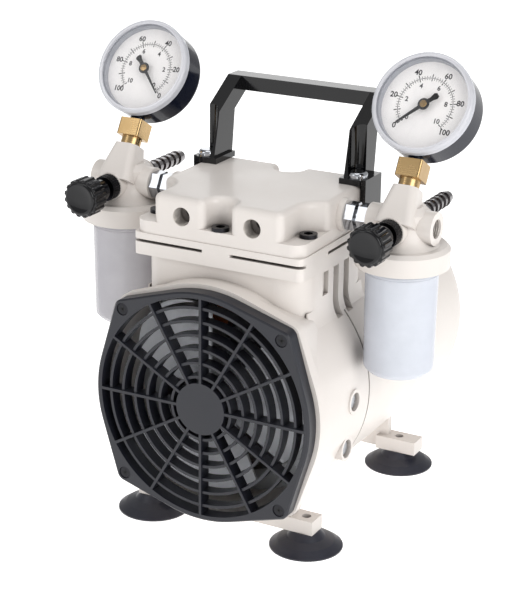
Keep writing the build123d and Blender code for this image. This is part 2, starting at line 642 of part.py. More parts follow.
# ================================================================ cooling fan
with BuildPart() as fan:
    with Locations(facing_front(FAN_Y - FAN_HUB_LENGTH / 2)):
        Cylinder(FAN_HUB_R, FAN_HUB_LENGTH, align=BACK)
    for blade in range(FAN_BLADES):
        middle = FAN_FIRST_ANGLE + blade * 360.0 / FAN_BLADES
        for share, tip in ((-0.5, 0.86), (-0.25, 0.97), (0.0, 1.0), (0.25, 0.97), (0.5, 0.86)):
            angle = radians(middle + share * FAN_BLADE_SWEEP)
            origin = (0, FAN_Y + share * FAN_PITCH, SHAFT_Z)
            along = (cos(angle), 0, sin(angle))
            across = (-sin(angle), 0, cos(angle))
            root_r = FAN_HUB_R - 3.0
            span = FAN_R * tip - root_r
            with BuildSketch(Plane(origin=origin, x_dir=along, z_dir=across)):
                with Locations((root_r + span / 2, 0)):
                    Rectangle(span, FAN_BLADE_T)
        loft()
    with Locations(facing_front(FAN_Y - FAN_HUB_LENGTH / 2)):
        Cylinder(SHAFT_END_R + RUNNING_GAP, FAN_HUB_LENGTH, align=BACK, mode=Mode.SUBTRACT)
save(fan, "fan")

# ================================================================ crank and connecting rod
CRANK_Z = SHAFT_Z + THROW
CRANK_FRONT_Y = CRANK_Y - ROD_WIDTH / 2
CRANK_HUB_R = ECCENTRIC_R - THROW - 1.0

with BuildPart() as eccentric:
    with Locations(facing_front(CRANK_FRONT_Y, z=CRANK_Z)):
        Cylinder(ECCENTRIC_R, ROD_WIDTH, align=BACK)
    weight_y = CRANK_FRONT_Y + ROD_WIDTH + MOVING_GAP
    with BuildSketch(facing_front(weight_y)):
        Circle(COUNTERWEIGHT_R)
        with Locations((0, COUNTERWEIGHT_R)):
            Rectangle(2 * COUNTERWEIGHT_R, 2 * COUNTERWEIGHT_R, mode=Mode.SUBTRACT)
        Circle(CRANK_HUB_R)
    extrude(amount=-COUNTERWEIGHT_T)
    with Locations(facing_front(CRANK_FRONT_Y)):
        Cylinder(CRANK_HUB_R, weight_y - CRANK_FRONT_Y, align=BACK)
        Cylinder(SHAFT_R + RUNNING_GAP, 2 * ROD_WIDTH, align=BACK, mode=Mode.SUBTRACT)
save(eccentric, "eccentric")

with BuildPart() as rod_bearing:
    with BuildSketch(facing_front(CRANK_FRONT_Y, z=CRANK_Z)):
        Circle(ROD_BEARING_R)
        Circle(ECCENTRIC_R + RUNNING_GAP, mode=Mode.SUBTRACT)
    extrude(amount=-ROD_WIDTH)
save(rod_bearing, "rod_bearing")

with BuildPart() as connecting_rod:
    with Locations(facing_front(CRANK_FRONT_Y, z=CRANK_Z)):
        Cylinder(ROD_BIG_END_R, ROD_WIDTH, align=BACK)
    with BuildSketch(Plane.XY.offset(CRANK_Z)):
        with Locations((0, CRANK_Y)):
            Rectangle(ROD_SHANK, ROD_WIDTH)
    extrude(amount=BLOCK_TOP_Z - CRANK_Z)
    with Locations((0, HEAD_Y, BLOCK_TOP_Z)):
        Cylinder(WASHER_R, ROD_PLATE_T, align=BACK)
        Cylinder(CENTRE_SCREW_R + SEAT_GAP, 4 * ROD_PLATE_T, align=BACK, mode=Mode.SUBTRACT)
    with Locations(facing_front(CRANK_FRONT_Y, z=CRANK_Z)):
        Cylinder(ROD_BEARING_R + RUNNING_GAP, ROD_WIDTH, align=BACK, mode=Mode.SUBTRACT)
save(connecting_rod, "connecting_rod")

with BuildPart() as diaphragm:
    with BuildSketch(Plane.XY.offset(BLOCK_TOP_Z)):
        with Locations((0, HEAD_Y)):
            Circle(DIAPHRAGM_R)
            Circle(CENTRE_SCREW_R + SEAT_GAP, mode=Mode.SUBTRACT)
    extrude(amount=DIAPHRAGM_T)
save(diaphragm, "diaphragm")

with BuildPart() as diaphragm_clamp:
    with Locations((0, HEAD_Y, BLOCK_TOP_Z + DIAPHRAGM_T)):
        Cylinder(WASHER_R, WASHER_T, align=UP)
        Cylinder(CENTRE_SCREW_R, DIAPHRAGM_T + 3 * ROD_PLATE_T, align=BACK)
    with Locations((0, HEAD_Y, BLOCK_TOP_Z + DIAPHRAGM_T + WASHER_T)):
        Cylinder(CENTRE_SCREW_R * 1.75, CHAMBER_HEIGHT - WASHER_T - 1.0, align=UP)
save(diaphragm_clamp, "diaphragm_clamp")

# ================================================================ valve plate and reeds
REED_Y = HEAD_Y - REED_SIZE[1] / 2
VALVE_TOP_Z = HEAD_BASE_Z + VALVE_PLATE_T
VALVE_FLOOR_Z = HEAD_BASE_Z + CHAMBER_HEIGHT

with BuildPart() as valve_plate:
    with Locations((0, HEAD_Y, HEAD_BASE_Z)):
        Cylinder(DIAPHRAGM_R, VALVE_PLATE_T, align=UP)
        Cylinder(CHAMBER_R, CHAMBER_HEIGHT, align=UP, mode=Mode.SUBTRACT)
    with Locations((0, HEAD_Y, VALVE_TOP_Z)):
        with GridLocations(2 * REED_X, 0, 2, 1):
            with Locations((0, REED_SIZE[1] / 4)):
                Cylinder(VALVE_HOLE_R, VALVE_PLATE_T, align=BACK, mode=Mode.SUBTRACT)
            with Locations((0, -REED_SIZE[1] / 2 + 4.0)):
                Cylinder(REED_SCREW_R + SEAT_GAP, VALVE_PLATE_T, align=BACK, mode=Mode.SUBTRACT)
save(valve_plate, "valve_plate")

REEDS = {"intake_reed": (-REED_X, VALVE_FLOOR_Z - REED_SIZE[2] - SEAT_GAP),
         "exhaust_reed": (REED_X, VALVE_TOP_Z + SEAT_GAP)}
for label, (reed_x, reed_z) in REEDS.items():
    with BuildPart() as reed:
        with BuildSketch(Plane.XY.offset(reed_z)):
            with Locations((reed_x, HEAD_Y)):
                SlotOverall(REED_SIZE[1], REED_SIZE[0], rotation=90)
            with Locations((reed_x, REED_Y + 4.0)):
                Circle(REED_SCREW_R + MOVING_GAP, mode=Mode.SUBTRACT)
        extrude(amount=REED_SIZE[2])
    save(reed, label)

with BuildPart() as reed_screws:
    head_gap = REED_SIZE[2] + SEAT_GAP + MOVING_GAP
    with Locations((-REED_X, REED_Y + 4.0, VALVE_FLOOR_Z - head_gap)):
        Cylinder(REED_SCREW_R * 2, 0.8, align=BACK)
        Cylinder(REED_SCREW_R, head_gap + 3.0, align=UP)
    with Locations((REED_X, REED_Y + 4.0, VALVE_TOP_Z + head_gap)):
        Cylinder(REED_SCREW_R * 2, 1.6, align=UP)
        Cylinder(REED_SCREW_R, head_gap + 3.0, align=BACK)
save(reed_screws, "reed_screws")

# ================================================================ head cover
with BuildPart() as head_cover:
    with BuildSketch(Plane.XY.offset(HEAD_BASE_Z)):
        with Locations((0, HEAD_Y)):
            RectangleRounded(HEAD_WIDTH, HEAD_DEPTH, HEAD_CORNER_R)
    extrude(amount=HEAD_RIM)
    with BuildSketch(Plane.XY.offset(HEAD_BASE_Z + HEAD_RIM)):
        with Locations((0, HEAD_Y)):
            step = 2 * HEAD_LOBE_INSET
            RectangleRounded(HEAD_WIDTH - step, HEAD_DEPTH - step, HEAD_LOBE_R)
    extrude(amount=HEAD_BASE - HEAD_RIM)
    # the raised part stands back round the four bolts, in soft lobes
    with BuildSketch(Plane.XY.offset(HEAD_SHOULDER_Z)) as raised:
        with Locations((0, HEAD_Y)):
            inset = 2 * HEAD_LOBE_INSET
            RectangleRounded(HEAD_WIDTH - inset, HEAD_DEPTH - inset, HEAD_LOBE_R)
        for (x, y), outward in zip(head_bolt_points()[:2], (-1, 1)):
            with Locations((x, y)):
                Circle(NOTCH_R, mode=Mode.SUBTRACT)
            with Locations((x, y + outward * NOTCH_R)):
                Rectangle(2 * NOTCH_R, 2 * NOTCH_R, mode=Mode.SUBTRACT)
        for side in SIDES.values():
            corner_y = HEAD_FRONT_Y + CORNER_BOLT_INSET
            with Locations((side * CORNER_NOTCH_X, corner_y)):
                Circle(CORNER_NOTCH_R, mode=Mode.SUBTRACT)
            with Locations((side * CORNER_NOTCH_X, corner_y - CORNER_NOTCH_R)):
                Rectangle(2 * CORNER_NOTCH_R, 2 * CORNER_NOTCH_R, mode=Mode.SUBTRACT)
        fillet([corner for corner in raised.vertices() if is_lobe_corner(corner)], LOBE_FILLET)
    extrude(amount=HEAD_RISE)
    fillet(head_cover.faces().sort_by(Axis.Z)[-1].edges(), HEAD_TOP_FILLET)
    for side in SIDES.values():
        with Locations(facing_side(side * HEAD_WIDTH / 2, SIDE_PORT_Y, PORT_Z, side)):
            Cylinder(SIDE_BOSS_R, 2 * SIDE_BOSS_PROUD)
    # recess for the valve plate and the two plenums above it
    with Locations((0, HEAD_Y, HEAD_BASE_Z)):
        Cylinder(DIAPHRAGM_R + SEAT_GAP, VALVE_PLATE_T, align=UP, mode=Mode.SUBTRACT)
    plenum_x, plenum_y, plenum_z = PLENUM_SIZE
    with Locations((0, HEAD_Y, VALVE_TOP_Z)):
        with GridLocations(2 * REED_X, 0, 2, 1):
            Box(plenum_x, plenum_y, plenum_z, align=UP, mode=Mode.SUBTRACT)
    # front ports, side ports and their passages
    for side in SIDES.values():
        with Locations(facing_front(HEAD_FRONT_Y, side * PORT_X, PORT_Z)):
            Cylinder(PORT_R, PORT_DEPTH, align=BACK, mode=Mode.SUBTRACT)
            Cylinder(PORT_R / 2, HEAD_DEPTH / 2, align=BACK, mode=Mode.SUBTRACT)
        with Locations(facing_side(side * (HEAD_WIDTH / 2 + SIDE_BOSS_PROUD), SIDE_PORT_Y, PORT_Z, side)):
            Cylinder(PORT_R, NIPPLE_THREAD + 1.0, align=BACK, mode=Mode.SUBTRACT)
            Cylinder(PORT_R / 2, HEAD_WIDTH / 2 - REED_X, align=BACK, mode=Mode.SUBTRACT)
    with Locations(Plane.XY.offset(HEAD_TOP_Z)):
        with Locations(*head_bolt_points(), *handle_screw_points()):
            Cylinder(BOLT_R + SEAT_GAP, HEAD_BASE + HEAD_RISE, align=BACK, mode=Mode.SUBTRACT)
save(head_cover, "head_cover")

with BuildPart() as head_bolts:
    with Locations(Plane.XY.offset(HEAD_SHOULDER_Z)):
        with Locations(*head_bolt_points()):
            Cylinder(BOLT_HEAD_R, BOLT_HEAD_H, align=UP)
            Cylinder(BOLT_R, HEAD_BASE + HEAD_SLIT + BLOCK_FLANGE - 1.0, align=BACK)
    with BuildSketch(Plane.XY.offset(HEAD_SHOULDER_Z + BOLT_HEAD_H)):
        with Locations(*head_bolt_points()):
            RegularPolygon(BOLT_HEAD_R * 0.55, 6)
    extrude(amount=-BOLT_SOCKET_DEPTH, mode=Mode.SUBTRACT)
save(head_bolts, "head_bolts")

# ================================================================ handle
FOOT_MIDDLE_Y = HEAD_FRONT_Y + HEAD_DEPTH - HANDLE_SCREW_INSET
POST_FRONT_Y = FOOT_MIDDLE_Y + 1.5
POST_BACK_Y = POST_FRONT_Y + 24.0
KINK_Z = HEAD_TOP_Z + 33.0
BAR_FRONT_Y = BAR_BACK_Y - BAR_DEPTH
BAR_BOTTOM_Z = BAR_TOP_Z - BAR_HEIGHT

with BuildPart() as handle:
    for side in SIDES.values():
        post_x = side * (HANDLE_HALF_X - HANDLE_POST / 2)
        with BuildSketch(facing_side(post_x - HANDLE_POST / 2, 0, 0)):
            with BuildLine():
                Polyline((POST_FRONT_Y - 8.0, HEAD_TOP_Z), (POST_BACK_Y - 6.0, HEAD_TOP_Z),
                         (POST_BACK_Y - 2.0, KINK_Z), (BAR_BACK_Y, BAR_BOTTOM_Z + 3.0),
                         (BAR_BACK_Y, BAR_TOP_Z - 3.0), (BAR_BACK_Y - 3.0, BAR_TOP_Z),
                         (BAR_FRONT_Y, BAR_TOP_Z), (POST_FRONT_Y, KINK_Z + 2.0),
                         (POST_FRONT_Y - 2.0, KINK_Z - 8.0), (POST_FRONT_Y - 8.0, HEAD_TOP_Z))
            make_face()
        extrude(amount=HANDLE_POST)
        # foot on the head's corner, with a tab for its screw and a hook down the side
        foot_length = 27.0
        foot_width = HEAD_WIDTH / 2 - HANDLE_FOOT_X
        with BuildSketch(Plane.XY.offset(HEAD_TOP_Z)):
            with Locations((side * (HANDLE_FOOT_X + foot_width / 2), HEAD_FRONT_Y + HEAD_DEPTH - foot_length / 2)):
                Rectangle(foot_width, foot_length)
            with Locations((side * HANDLE_SCREW_X, FOOT_MIDDLE_Y)):
                Circle(HANDLE_SCREW_HEAD_R + 1.5)
        extrude(amount=HANDLE_FOOT_T)
        hook_x = side * (HEAD_WIDTH / 2 + SEAT_GAP + HOOK_T / 2)
        with Locations((hook_x, HOOK_Y, HEAD_TOP_Z + HANDLE_FOOT_T)):
            Box(HOOK_T, HOOK_LENGTH, HOOK_DROP + HANDLE_FOOT_T, align=(Align.CENTER, Align.CENTER, Align.MAX))
        with Locations((side * (HANDLE_HALF_X + 2.0), HOOK_Y, HEAD_TOP_Z)):
            Box(2 * (HEAD_WIDTH / 2 + HOOK_T - HANDLE_HALF_X - 2.0), HOOK_LENGTH, HANDLE_FOOT_T, align=UP)
    with Locations((0, BAR_FRONT_Y + BAR_DEPTH / 2, BAR_BOTTOM_Z)):
        Box(2 * HANDLE_HALF_X, BAR_DEPTH, BAR_HEIGHT, align=UP)
    with Locations(Plane.XY.offset(HEAD_TOP_Z + HANDLE_FOOT_T)):
        with Locations(*handle_screw_points()):
            Cylinder(BOLT_R + SEAT_GAP, HANDLE_FOOT_T, align=BACK, mode=Mode.SUBTRACT)
            Cylinder(HANDLE_SCREW_HEAD_R + 0.4, KINK_Z, align=UP, mode=Mode.SUBTRACT)
save(handle, "handle")

with BuildPart() as handle_screws:
    screw_length = HANDLE_FOOT_T + HEAD_RISE + HEAD_BASE + HEAD_SLIT + BLOCK_FLANGE - 1.0
    with Locations(Plane.XY.offset(HEAD_TOP_Z + HANDLE_FOOT_T)):
        with Locations(*handle_screw_points()):
            Cylinder(BOLT_R, screw_length, align=BACK)
            Cylinder(HANDLE_SCREW_HEAD_R, 4.2, align=UP)
    fillet(handle_screws.edges().group_by(Axis.Z)[-1], 2.4)
save(handle_screws, "handle_screws")

# ================================================================ regulator bodies
LID_TOP_Z = LID_BOTTOM_Z + LID_HEIGHT
RECESS_TOP_Z = LID_BOTTOM_Z + LID_RECESS
JAR_TOP_Z = RECESS_TOP_Z - GASKET_T - RUNNING_GAP * 4
JAR_CLEARANCE = 0.35
TILT = radians(NECK_TILT)
NECK_AXIS = (0, sin(TILT), cos(TILT))
CASE_OFFSET = ADAPTER_T + SOCKET_T + GAUGE_STEM_LENGTH - 5.4 + CASE_R


def neck_plane(side, along=0.0):
    """Plane across the leaning neck, at a distance along it from its top face."""
    y = NECK_TOP_Y + along * NECK_AXIS[1]
    z = NECK_TOP_Z + along * NECK_AXIS[2]
    return Plane(origin=(side * TRAP_X, y, z), x_dir=(1, 0, 0), z_dir=NECK_AXIS)


def dial_plane(side, out=0.0):
    """Plane of the gauge's face, out in front of the stem's axis; local x is +X."""
    y = NECK_TOP_Y + CASE_OFFSET * NECK_AXIS[1] - out * NECK_AXIS[2]
    z = NECK_TOP_Z + CASE_OFFSET * NECK_AXIS[2] + out * NECK_AXIS[1]
    return Plane(origin=(side * TRAP_X, y, z), x_dir=(1, 0, 0), z_dir=(0, -NECK_AXIS[2], NECK_AXIS[1]))


def build_trap_body(name, side):
    """Cast body: lid of the jar, tower with a boss on each side and the leaning neck on top."""
    x = side * TRAP_X
    with BuildPart() as body:
        with BuildSketch(facing_front(TRAP_Y, x, 0)):
            with BuildLine():
                Polyline((TOWER_R, TOWER_FLARE_Z), (TOWER_R, TOWER_TOP_Z - 4.0),
                         (TOWER_R - 4.0, TOWER_TOP_Z), (0, TOWER_TOP_Z), (0, LID_BOTTOM_Z),
                         (LID_R, LID_BOTTOM_Z), (LID_R, LID_TOP_Z - 2.5), (LID_R - 2.5, LID_TOP_Z),
                         (TOWER_FOOT_R, LID_TOP_Z))
                RadiusArc((TOWER_FOOT_R, LID_TOP_Z), (TOWER_R, TOWER_FLARE_Z), 20.0)
            make_face()
        revolve(axis=Axis((x, TRAP_Y, 0), (0, 0, 1)))
        with Locations(facing_side(x, TRAP_Y, PORT_Z)):
            Cylinder(CROSS_BOSS_R, 2 * CROSS_REACH)
        with Locations(facing_front(TRAP_Y, x, PORT_Z)):
            Cylinder(FRONT_BOSS_R, FRONT_BOSS_REACH, align=UP)
            Cylinder(FRONT_BOSS_R, REAR_BOSS_REACH, align=BACK)
        with BuildSketch(neck_plane(side)):
            RectangleRounded(NECK_SIZE, NECK_SIZE, NECK_CORNER_R)
        with BuildSketch(neck_plane(side, -NECK_LENGTH)):
            RectangleRounded(NECK_ROOT_SIZE, NECK_ROOT_SIZE, NECK_CORNER_R)
        loft()
        # jar recess and the passages that meet in the tower
        with Locations((x, TRAP_Y, LID_BOTTOM_Z)):
            Cylinder(JAR_R + JAR_CLEARANCE, LID_RECESS, align=UP, mode=Mode.SUBTRACT)
            Cylinder(TRAP_PASSAGE_R, PORT_Z - LID_BOTTOM_Z, align=UP, mode=Mode.SUBTRACT)
        with Locations(facing_side(x, TRAP_Y, PORT_Z)):
            Cylinder(CROSS_PASSAGE_R, 2 * CROSS_REACH, mode=Mode.SUBTRACT)
        with Locations(facing_side(x + side * CROSS_REACH, TRAP_Y, PORT_Z, side)):
            Cylinder(PORT_R, PORT_DEPTH, align=BACK, mode=Mode.SUBTRACT)
        with Locations(facing_side(x - side * CROSS_REACH, TRAP_Y, PORT_Z, -side)):
            Cylinder(PORT_R, NIPPLE_THREAD + 1.0, align=BACK, mode=Mode.SUBTRACT)
        with Locations(facing_front(TRAP_Y - FRONT_BOSS_REACH, x, PORT_Z)):
            Cylinder(BUSH_R - 2.5 + SEAT_GAP, BUSH_LENGTH, align=BACK, mode=Mode.SUBTRACT)
            Cylinder(SPINDLE_R + 1.0, FRONT_BOSS_REACH, align=BACK, mode=Mode.SUBTRACT)
        with Locations(facing_front(TRAP_Y + REAR_BOSS_REACH, x, PORT_Z)):
            Cylinder(BARB_R + SEAT_GAP, BARB_STUB + 1.0, align=UP, mode=Mode.SUBTRACT)
            Cylinder(BARB_BORE_R, REAR_BOSS_REACH, align=UP, mode=Mode.SUBTRACT)
        with Locations(neck_plane(side)):
            Cylinder(GAUGE_STEM_R + SEAT_GAP, 9.0, align=BACK, mode=Mode.SUBTRACT)
            Cylinder(TRAP_PASSAGE_R / 2, NECK_LENGTH, align=BACK, mode=Mode.SUBTRACT)
    save(body, f"{name}_trap_body")


def build_jar(name, side):
    """Clear bowl with a rounded bottom, and the gasket above its mouth."""
    x = side * TRAP_X
    with BuildPart() as jar:
        with BuildSketch(facing_front(TRAP_Y, x, 0)):
            with BuildLine():
                Polyline((0, JAR_BOTTOM_Z), (JAR_R - JAR_TAPER_R - 4.0, JAR_BOTTOM_Z),
                         (JAR_R - JAR_TAPER_R, JAR_BOTTOM_Z + 4.0), (JAR_R, LID_BOTTOM_Z - 3.0),
                         (JAR_R, JAR_TOP_Z), (0, JAR_TOP_Z), (0, JAR_BOTTOM_Z))
            make_face()
        revolve(axis=Axis((x, TRAP_Y, 0), (0, 0, 1)))
        fillet(jar.edges().filter_by(GeomType.CIRCLE).group_by(Axis.Z)[:2], 3.0)
        offset(amount=-JAR_WALL, openings=jar.faces().sort_by(Axis.Z)[-1])
    save(jar, f"{name}_jar")
    with BuildPart() as gasket:
        with BuildSketch(Plane.XY.offset(RECESS_TOP_Z - GASKET_T)):
            with Locations((x, TRAP_Y)):
                Circle(JAR_R)
                Circle(JAR_R - 4 * JAR_WALL, mode=Mode.SUBTRACT)
        extrude(amount=GASKET_T)
    save(gasket, f"{name}_gasket")


def build_barb(name, side):
    """Hose barb with a hexagon, threaded into the rear boss."""
    seat = facing_front(TRAP_Y + REAR_BOSS_REACH, side * TRAP_X, PORT_Z)
    with BuildPart() as barb:
        with BuildSketch(seat):
            RegularPolygon(BARB_HEX / 2, 6, major_radius=False)
        extrude(amount=-BARB_HEX_T)
        with Locations(seat):
            Cylinder(BARB_R, BARB_STUB, align=UP)
            Cylinder(BARB_NECK_R, BARB_LENGTH, align=BACK)
        pitch = (BARB_LENGTH - BARB_HEX_T - 3.0) / BARB_RINGS
        for ring in range(BARB_RINGS):
            back = BARB_HEX_T + 3.0 + ring * pitch
            with Locations(seat.offset(-back)):
                Cone(BARB_NECK_R, BARB_R, pitch, align=BACK)
        with Locations(seat.offset(BARB_STUB)):
            Cylinder(BARB_BORE_R, BARB_STUB + BARB_LENGTH, align=BACK, mode=Mode.SUBTRACT)
    save(barb, f"{name}_hose_barb")


def build_valve(name, side):
    """Needle spindle, its threaded bush in the front boss, and the scalloped knob."""
    seat = facing_front(TRAP_Y - FRONT_BOSS_REACH, side * TRAP_X, PORT_Z)
    travel = SPINDLE_PITCH * VALVE_TURNS
    with BuildPart() as bush:
        with Locations(seat):
            Cylinder(BUSH_R, BUSH_LENGTH, align=UP)
            Cylinder(BUSH_R - 2.5, BUSH_LENGTH - 1.0, align=BACK)
            Cylinder(SPINDLE_R + RUNNING_GAP, 4 * BUSH_LENGTH, mode=Mode.SUBTRACT)
    save(bush, f"{name}_valve_bush")
    hub_back = seat.offset(BUSH_LENGTH + travel + 1.0)
    with BuildPart() as knob:
        with BuildSketch(hub_back):
            Circle(KNOB_HUB_R)
        extrude(amount=KNOB_HUB_LENGTH)
        with BuildSketch(hub_back.offset(KNOB_HUB_LENGTH)):
            Circle(KNOB_R)
            with PolarLocations(KNOB_R + KNOB_SCALLOP_R / 2, KNOB_SCALLOPS):
                Circle(KNOB_SCALLOP_R, mode=Mode.SUBTRACT)
        extrude(amount=KNOB_LENGTH)
        fillet(knob.faces().sort_by(Axis.Y)[0].edges(), 1.0)
        with Locations(hub_back):
            Cylinder(SPINDLE_R + RUNNING_GAP, KNOB_HUB_LENGTH, align=UP, mode=Mode.SUBTRACT)
    save(knob, f"{name}_knob")
    spindle_length = BUSH_LENGTH + travel + 1.0 + KNOB_HUB_LENGTH
    with BuildPart() as spindle:
        with Locations(seat):
            Cylinder(SPINDLE_R, spindle_length - MOVING_GAP, align=UP)
            Cylinder(SPINDLE_R, FRONT_BOSS_REACH / 2 - travel, align=BACK)
        with Locations(seat.offset(travel - FRONT_BOSS_REACH / 2)):
            Cone(BARB_BORE_R / 2, SPINDLE_R, 3.0, align=BACK, rotation=(0, 0, 0))
    save(spindle, f"{name}_spindle")


def build_nipple(name, side):
    """Double-hexagon nipple between the head's side boss and the regulator body."""
    head_x = HEAD_WIDTH / 2 + SIDE_BOSS_PROUD
    trap_x = TRAP_X - CROSS_REACH
    with BuildPart() as nipple:
        for start in (head_x, trap_x - NIPPLE_HEX_T):
            with BuildSketch(facing_side(side * start, SIDE_PORT_Y, PORT_Z, side)):
                RegularPolygon(NIPPLE_HEX / 2, 6, major_radius=False)
            extrude(amount=NIPPLE_HEX_T)
        with Locations(facing_side(side * (head_x - NIPPLE_THREAD), SIDE_PORT_Y, PORT_Z, side)):
            Cylinder(PORT_R - SEAT_GAP, trap_x - head_x + 2 * NIPPLE_THREAD, align=UP)
            Cylinder(TRAP_PASSAGE_R, trap_x - head_x + 2 * NIPPLE_THREAD, align=UP, mode=Mode.SUBTRACT)
    save(nipple, f"{name}_nipple")


def build_gauge(name, side):
    """Brass adapter, case on its stem, dial, pointer and clear lens, all on the leaning axis."""
    with BuildPart() as adapter:
        with Locations(neck_plane(side)):
            Cylinder(ADAPTER_HEX / 2, ADAPTER_T, align=UP)
            Cylinder(GAUGE_STEM_R, 8.0, align=BACK)
        with BuildSketch(neck_plane(side, ADAPTER_T)):
            RectangleRounded(SOCKET_SIZE, SOCKET_SIZE, 1.5)
        extrude(amount=SOCKET_T)
        with Locations(neck_plane(side, ADAPTER_T + SOCKET_T)):
            Cylinder(GAUGE_STEM_R + SEAT_GAP, GAUGE_STEM_LENGTH, align=BACK, mode=Mode.SUBTRACT)
            Cylinder(TRAP_PASSAGE_R / 2, 4 * SOCKET_T, align=BACK, mode=Mode.SUBTRACT)
    save(adapter, f"{name}_gauge_adapter")

    front = STEM_SETBACK - LENS_RIM
    with BuildPart() as case:
        with Locations(dial_plane(side, front)):
            Cylinder(CASE_R, CASE_DEPTH, align=BACK)
        fillet(case.edges().filter_by(GeomType.CIRCLE).sort_by(Axis.Y)[-1], 4.0)
        with Locations(neck_plane(side, ADAPTER_T + SOCKET_T - GAUGE_STEM_LENGTH + 1.0)):
            Cylinder(GAUGE_STEM_R, GAUGE_STEM_LENGTH + 5.0, align=UP)
        ledge = STEM_SETBACK - DIAL_SETBACK - DIAL_T
        with Locations(dial_plane(side, front)):
            Cylinder(CASE_R - CASE_WALL, front - ledge, align=BACK, mode=Mode.SUBTRACT)
        with BuildSketch(dial_plane(side, ledge)):
            Circle(CASE_R - 2 * CASE_WALL)
            Circle(GAUGE_STEM_R, mode=Mode.SUBTRACT)
        extrude(amount=-(CASE_DEPTH - (front - ledge) - 2 * CASE_WALL), mode=Mode.SUBTRACT)
        with Locations(dial_plane(side, ledge)):
            Cylinder(GAUGE_STEM_R / 4 + RUNNING_GAP, CASE_DEPTH / 2, align=BACK, mode=Mode.SUBTRACT)
    save(case, f"{name}_gauge_case")

    with BuildPart() as dial:
        with BuildSketch(dial_plane(side, ledge)):
            Circle(CASE_R - CASE_WALL - SEAT_GAP)
            Circle(GAUGE_STEM_R / 4 + RUNNING_GAP * 2, mode=Mode.SUBTRACT)
        extrude(amount=DIAL_T)
    save(dial, f"{name}_gauge_dial")

    with BuildPart() as pointer:
        with BuildSketch(dial_plane(side, STEM_SETBACK - POINTER_SETBACK)):
            turn = -POINTER_ZERO[name]
            with BuildLine(Plane.XY.rotated((0, 0, turn))):
                Polyline((-0.4, POINTER_LENGTH), (0.4, POINTER_LENGTH), (1.1, 0),
                         (1.5, -POINTER_TAIL), (-1.5, -POINTER_TAIL), (-1.1, 0), (-0.4, POINTER_LENGTH))
            make_face()
            Circle(3.0)
        extrude(amount=POINTER_T)
        with Locations(dial_plane(side, STEM_SETBACK - POINTER_SETBACK)):
            Cylinder(GAUGE_STEM_R / 4, CASE_DEPTH / 3, align=BACK)
    save(pointer, f"{name}_gauge_pointer")

    with BuildPart() as lens:
        with Locations(dial_plane(side, STEM_SETBACK)):
            Cylinder(LENS_R, LENS_RIM, align=BACK)
        fillet(lens.edges().filter_by(GeomType.CIRCLE).sort_by(Axis.Y)[0], 2.0)
        with Locations(dial_plane(side, STEM_SETBACK - LENS_T)):
            Cylinder(CASE_R - CASE_WALL, LENS_RIM, align=BACK, mode=Mode.SUBTRACT)
    save(lens, f"{name}_gauge_lens")


for name, side in SIDES.items():
    build_trap_body(name, side)
    build_jar(name, side)
    build_barb(name, side)
    build_valve(name, side)
    build_nipple(name, side)
    build_gauge(name, side)

# ================================================================ suction feet
FEET = {"front_left": (-FOOT_X, FOOT_FRONT_Y), "front_right": (FOOT_X, FOOT_FRONT_Y),
        "rear_left": (-FOOT_X, FOOT_REAR_Y), "rear_right": (FOOT_X, FOOT_REAR_Y)}
for label, (foot_x, foot_y) in FEET.items():
    with BuildPart() as cup:
        with BuildSketch(facing_front(foot_y, foot_x, 0)):
            with BuildLine():
                Polyline((0, 3.4), (CUP_R - 7.0, 2.4), (CUP_R - 2.5, 0), (CUP_R, 0),
                         (CUP_R, 1.0), (CUP_R * 0.78, CUP_HEIGHT - 3.2), (CUP_R * 0.52, CUP_HEIGHT - 0.6),
                         (CUP_R * 0.36, LUG_BOTTOM_Z), (0, LUG_BOTTOM_Z), (0, 3.4))
            make_face()
        revolve(axis=Axis((foot_x, foot_y, 0), (0, 0, 1)))
        with Locations((foot_x, foot_y, LUG_BOTTOM_Z)):
            Cylinder(STUD_R, LUG_BOTTOM_Z / 2, align=BACK, mode=Mode.SUBTRACT)
    save(cup, f"{label}_suction_cup")

with BuildPart() as foot_screws:
    with Locations(*[(x, y, LUG_BOTTOM_Z / 2) for x, y in FEET.values()]):
        Cylinder(STUD_R, LUG_T + LUG_BOTTOM_Z / 2 - STUD_R, align=UP)
save(foot_screws, "foot_screws")
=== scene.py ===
"""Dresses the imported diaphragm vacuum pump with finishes, fine detail, light and a camera."""

import json
import logging
import math
from dataclasses import dataclass, field, replace
from enum import Enum

import bmesh
import bpy
from mathutils import Euler, Matrix, Vector

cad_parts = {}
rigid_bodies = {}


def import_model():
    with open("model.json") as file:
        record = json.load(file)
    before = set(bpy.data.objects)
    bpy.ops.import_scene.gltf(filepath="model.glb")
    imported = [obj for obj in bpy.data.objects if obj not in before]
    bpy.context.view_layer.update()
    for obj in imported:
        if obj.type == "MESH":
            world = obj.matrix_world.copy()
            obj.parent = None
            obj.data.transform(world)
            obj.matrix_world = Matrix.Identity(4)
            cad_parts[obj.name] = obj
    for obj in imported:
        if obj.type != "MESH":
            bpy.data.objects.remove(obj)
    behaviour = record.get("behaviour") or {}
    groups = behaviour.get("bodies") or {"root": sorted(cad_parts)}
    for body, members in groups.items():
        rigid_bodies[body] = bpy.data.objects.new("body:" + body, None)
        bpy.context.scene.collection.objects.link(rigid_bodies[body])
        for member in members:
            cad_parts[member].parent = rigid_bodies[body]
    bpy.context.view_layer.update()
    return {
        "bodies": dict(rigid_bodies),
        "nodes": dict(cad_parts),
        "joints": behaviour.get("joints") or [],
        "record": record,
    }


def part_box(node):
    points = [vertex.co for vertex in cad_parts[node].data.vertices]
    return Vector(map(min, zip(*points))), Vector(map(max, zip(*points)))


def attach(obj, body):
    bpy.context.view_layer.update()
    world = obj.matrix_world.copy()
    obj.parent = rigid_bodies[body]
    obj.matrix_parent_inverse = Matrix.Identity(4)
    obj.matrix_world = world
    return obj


log = logging.getLogger("pump")

MM = 0.001

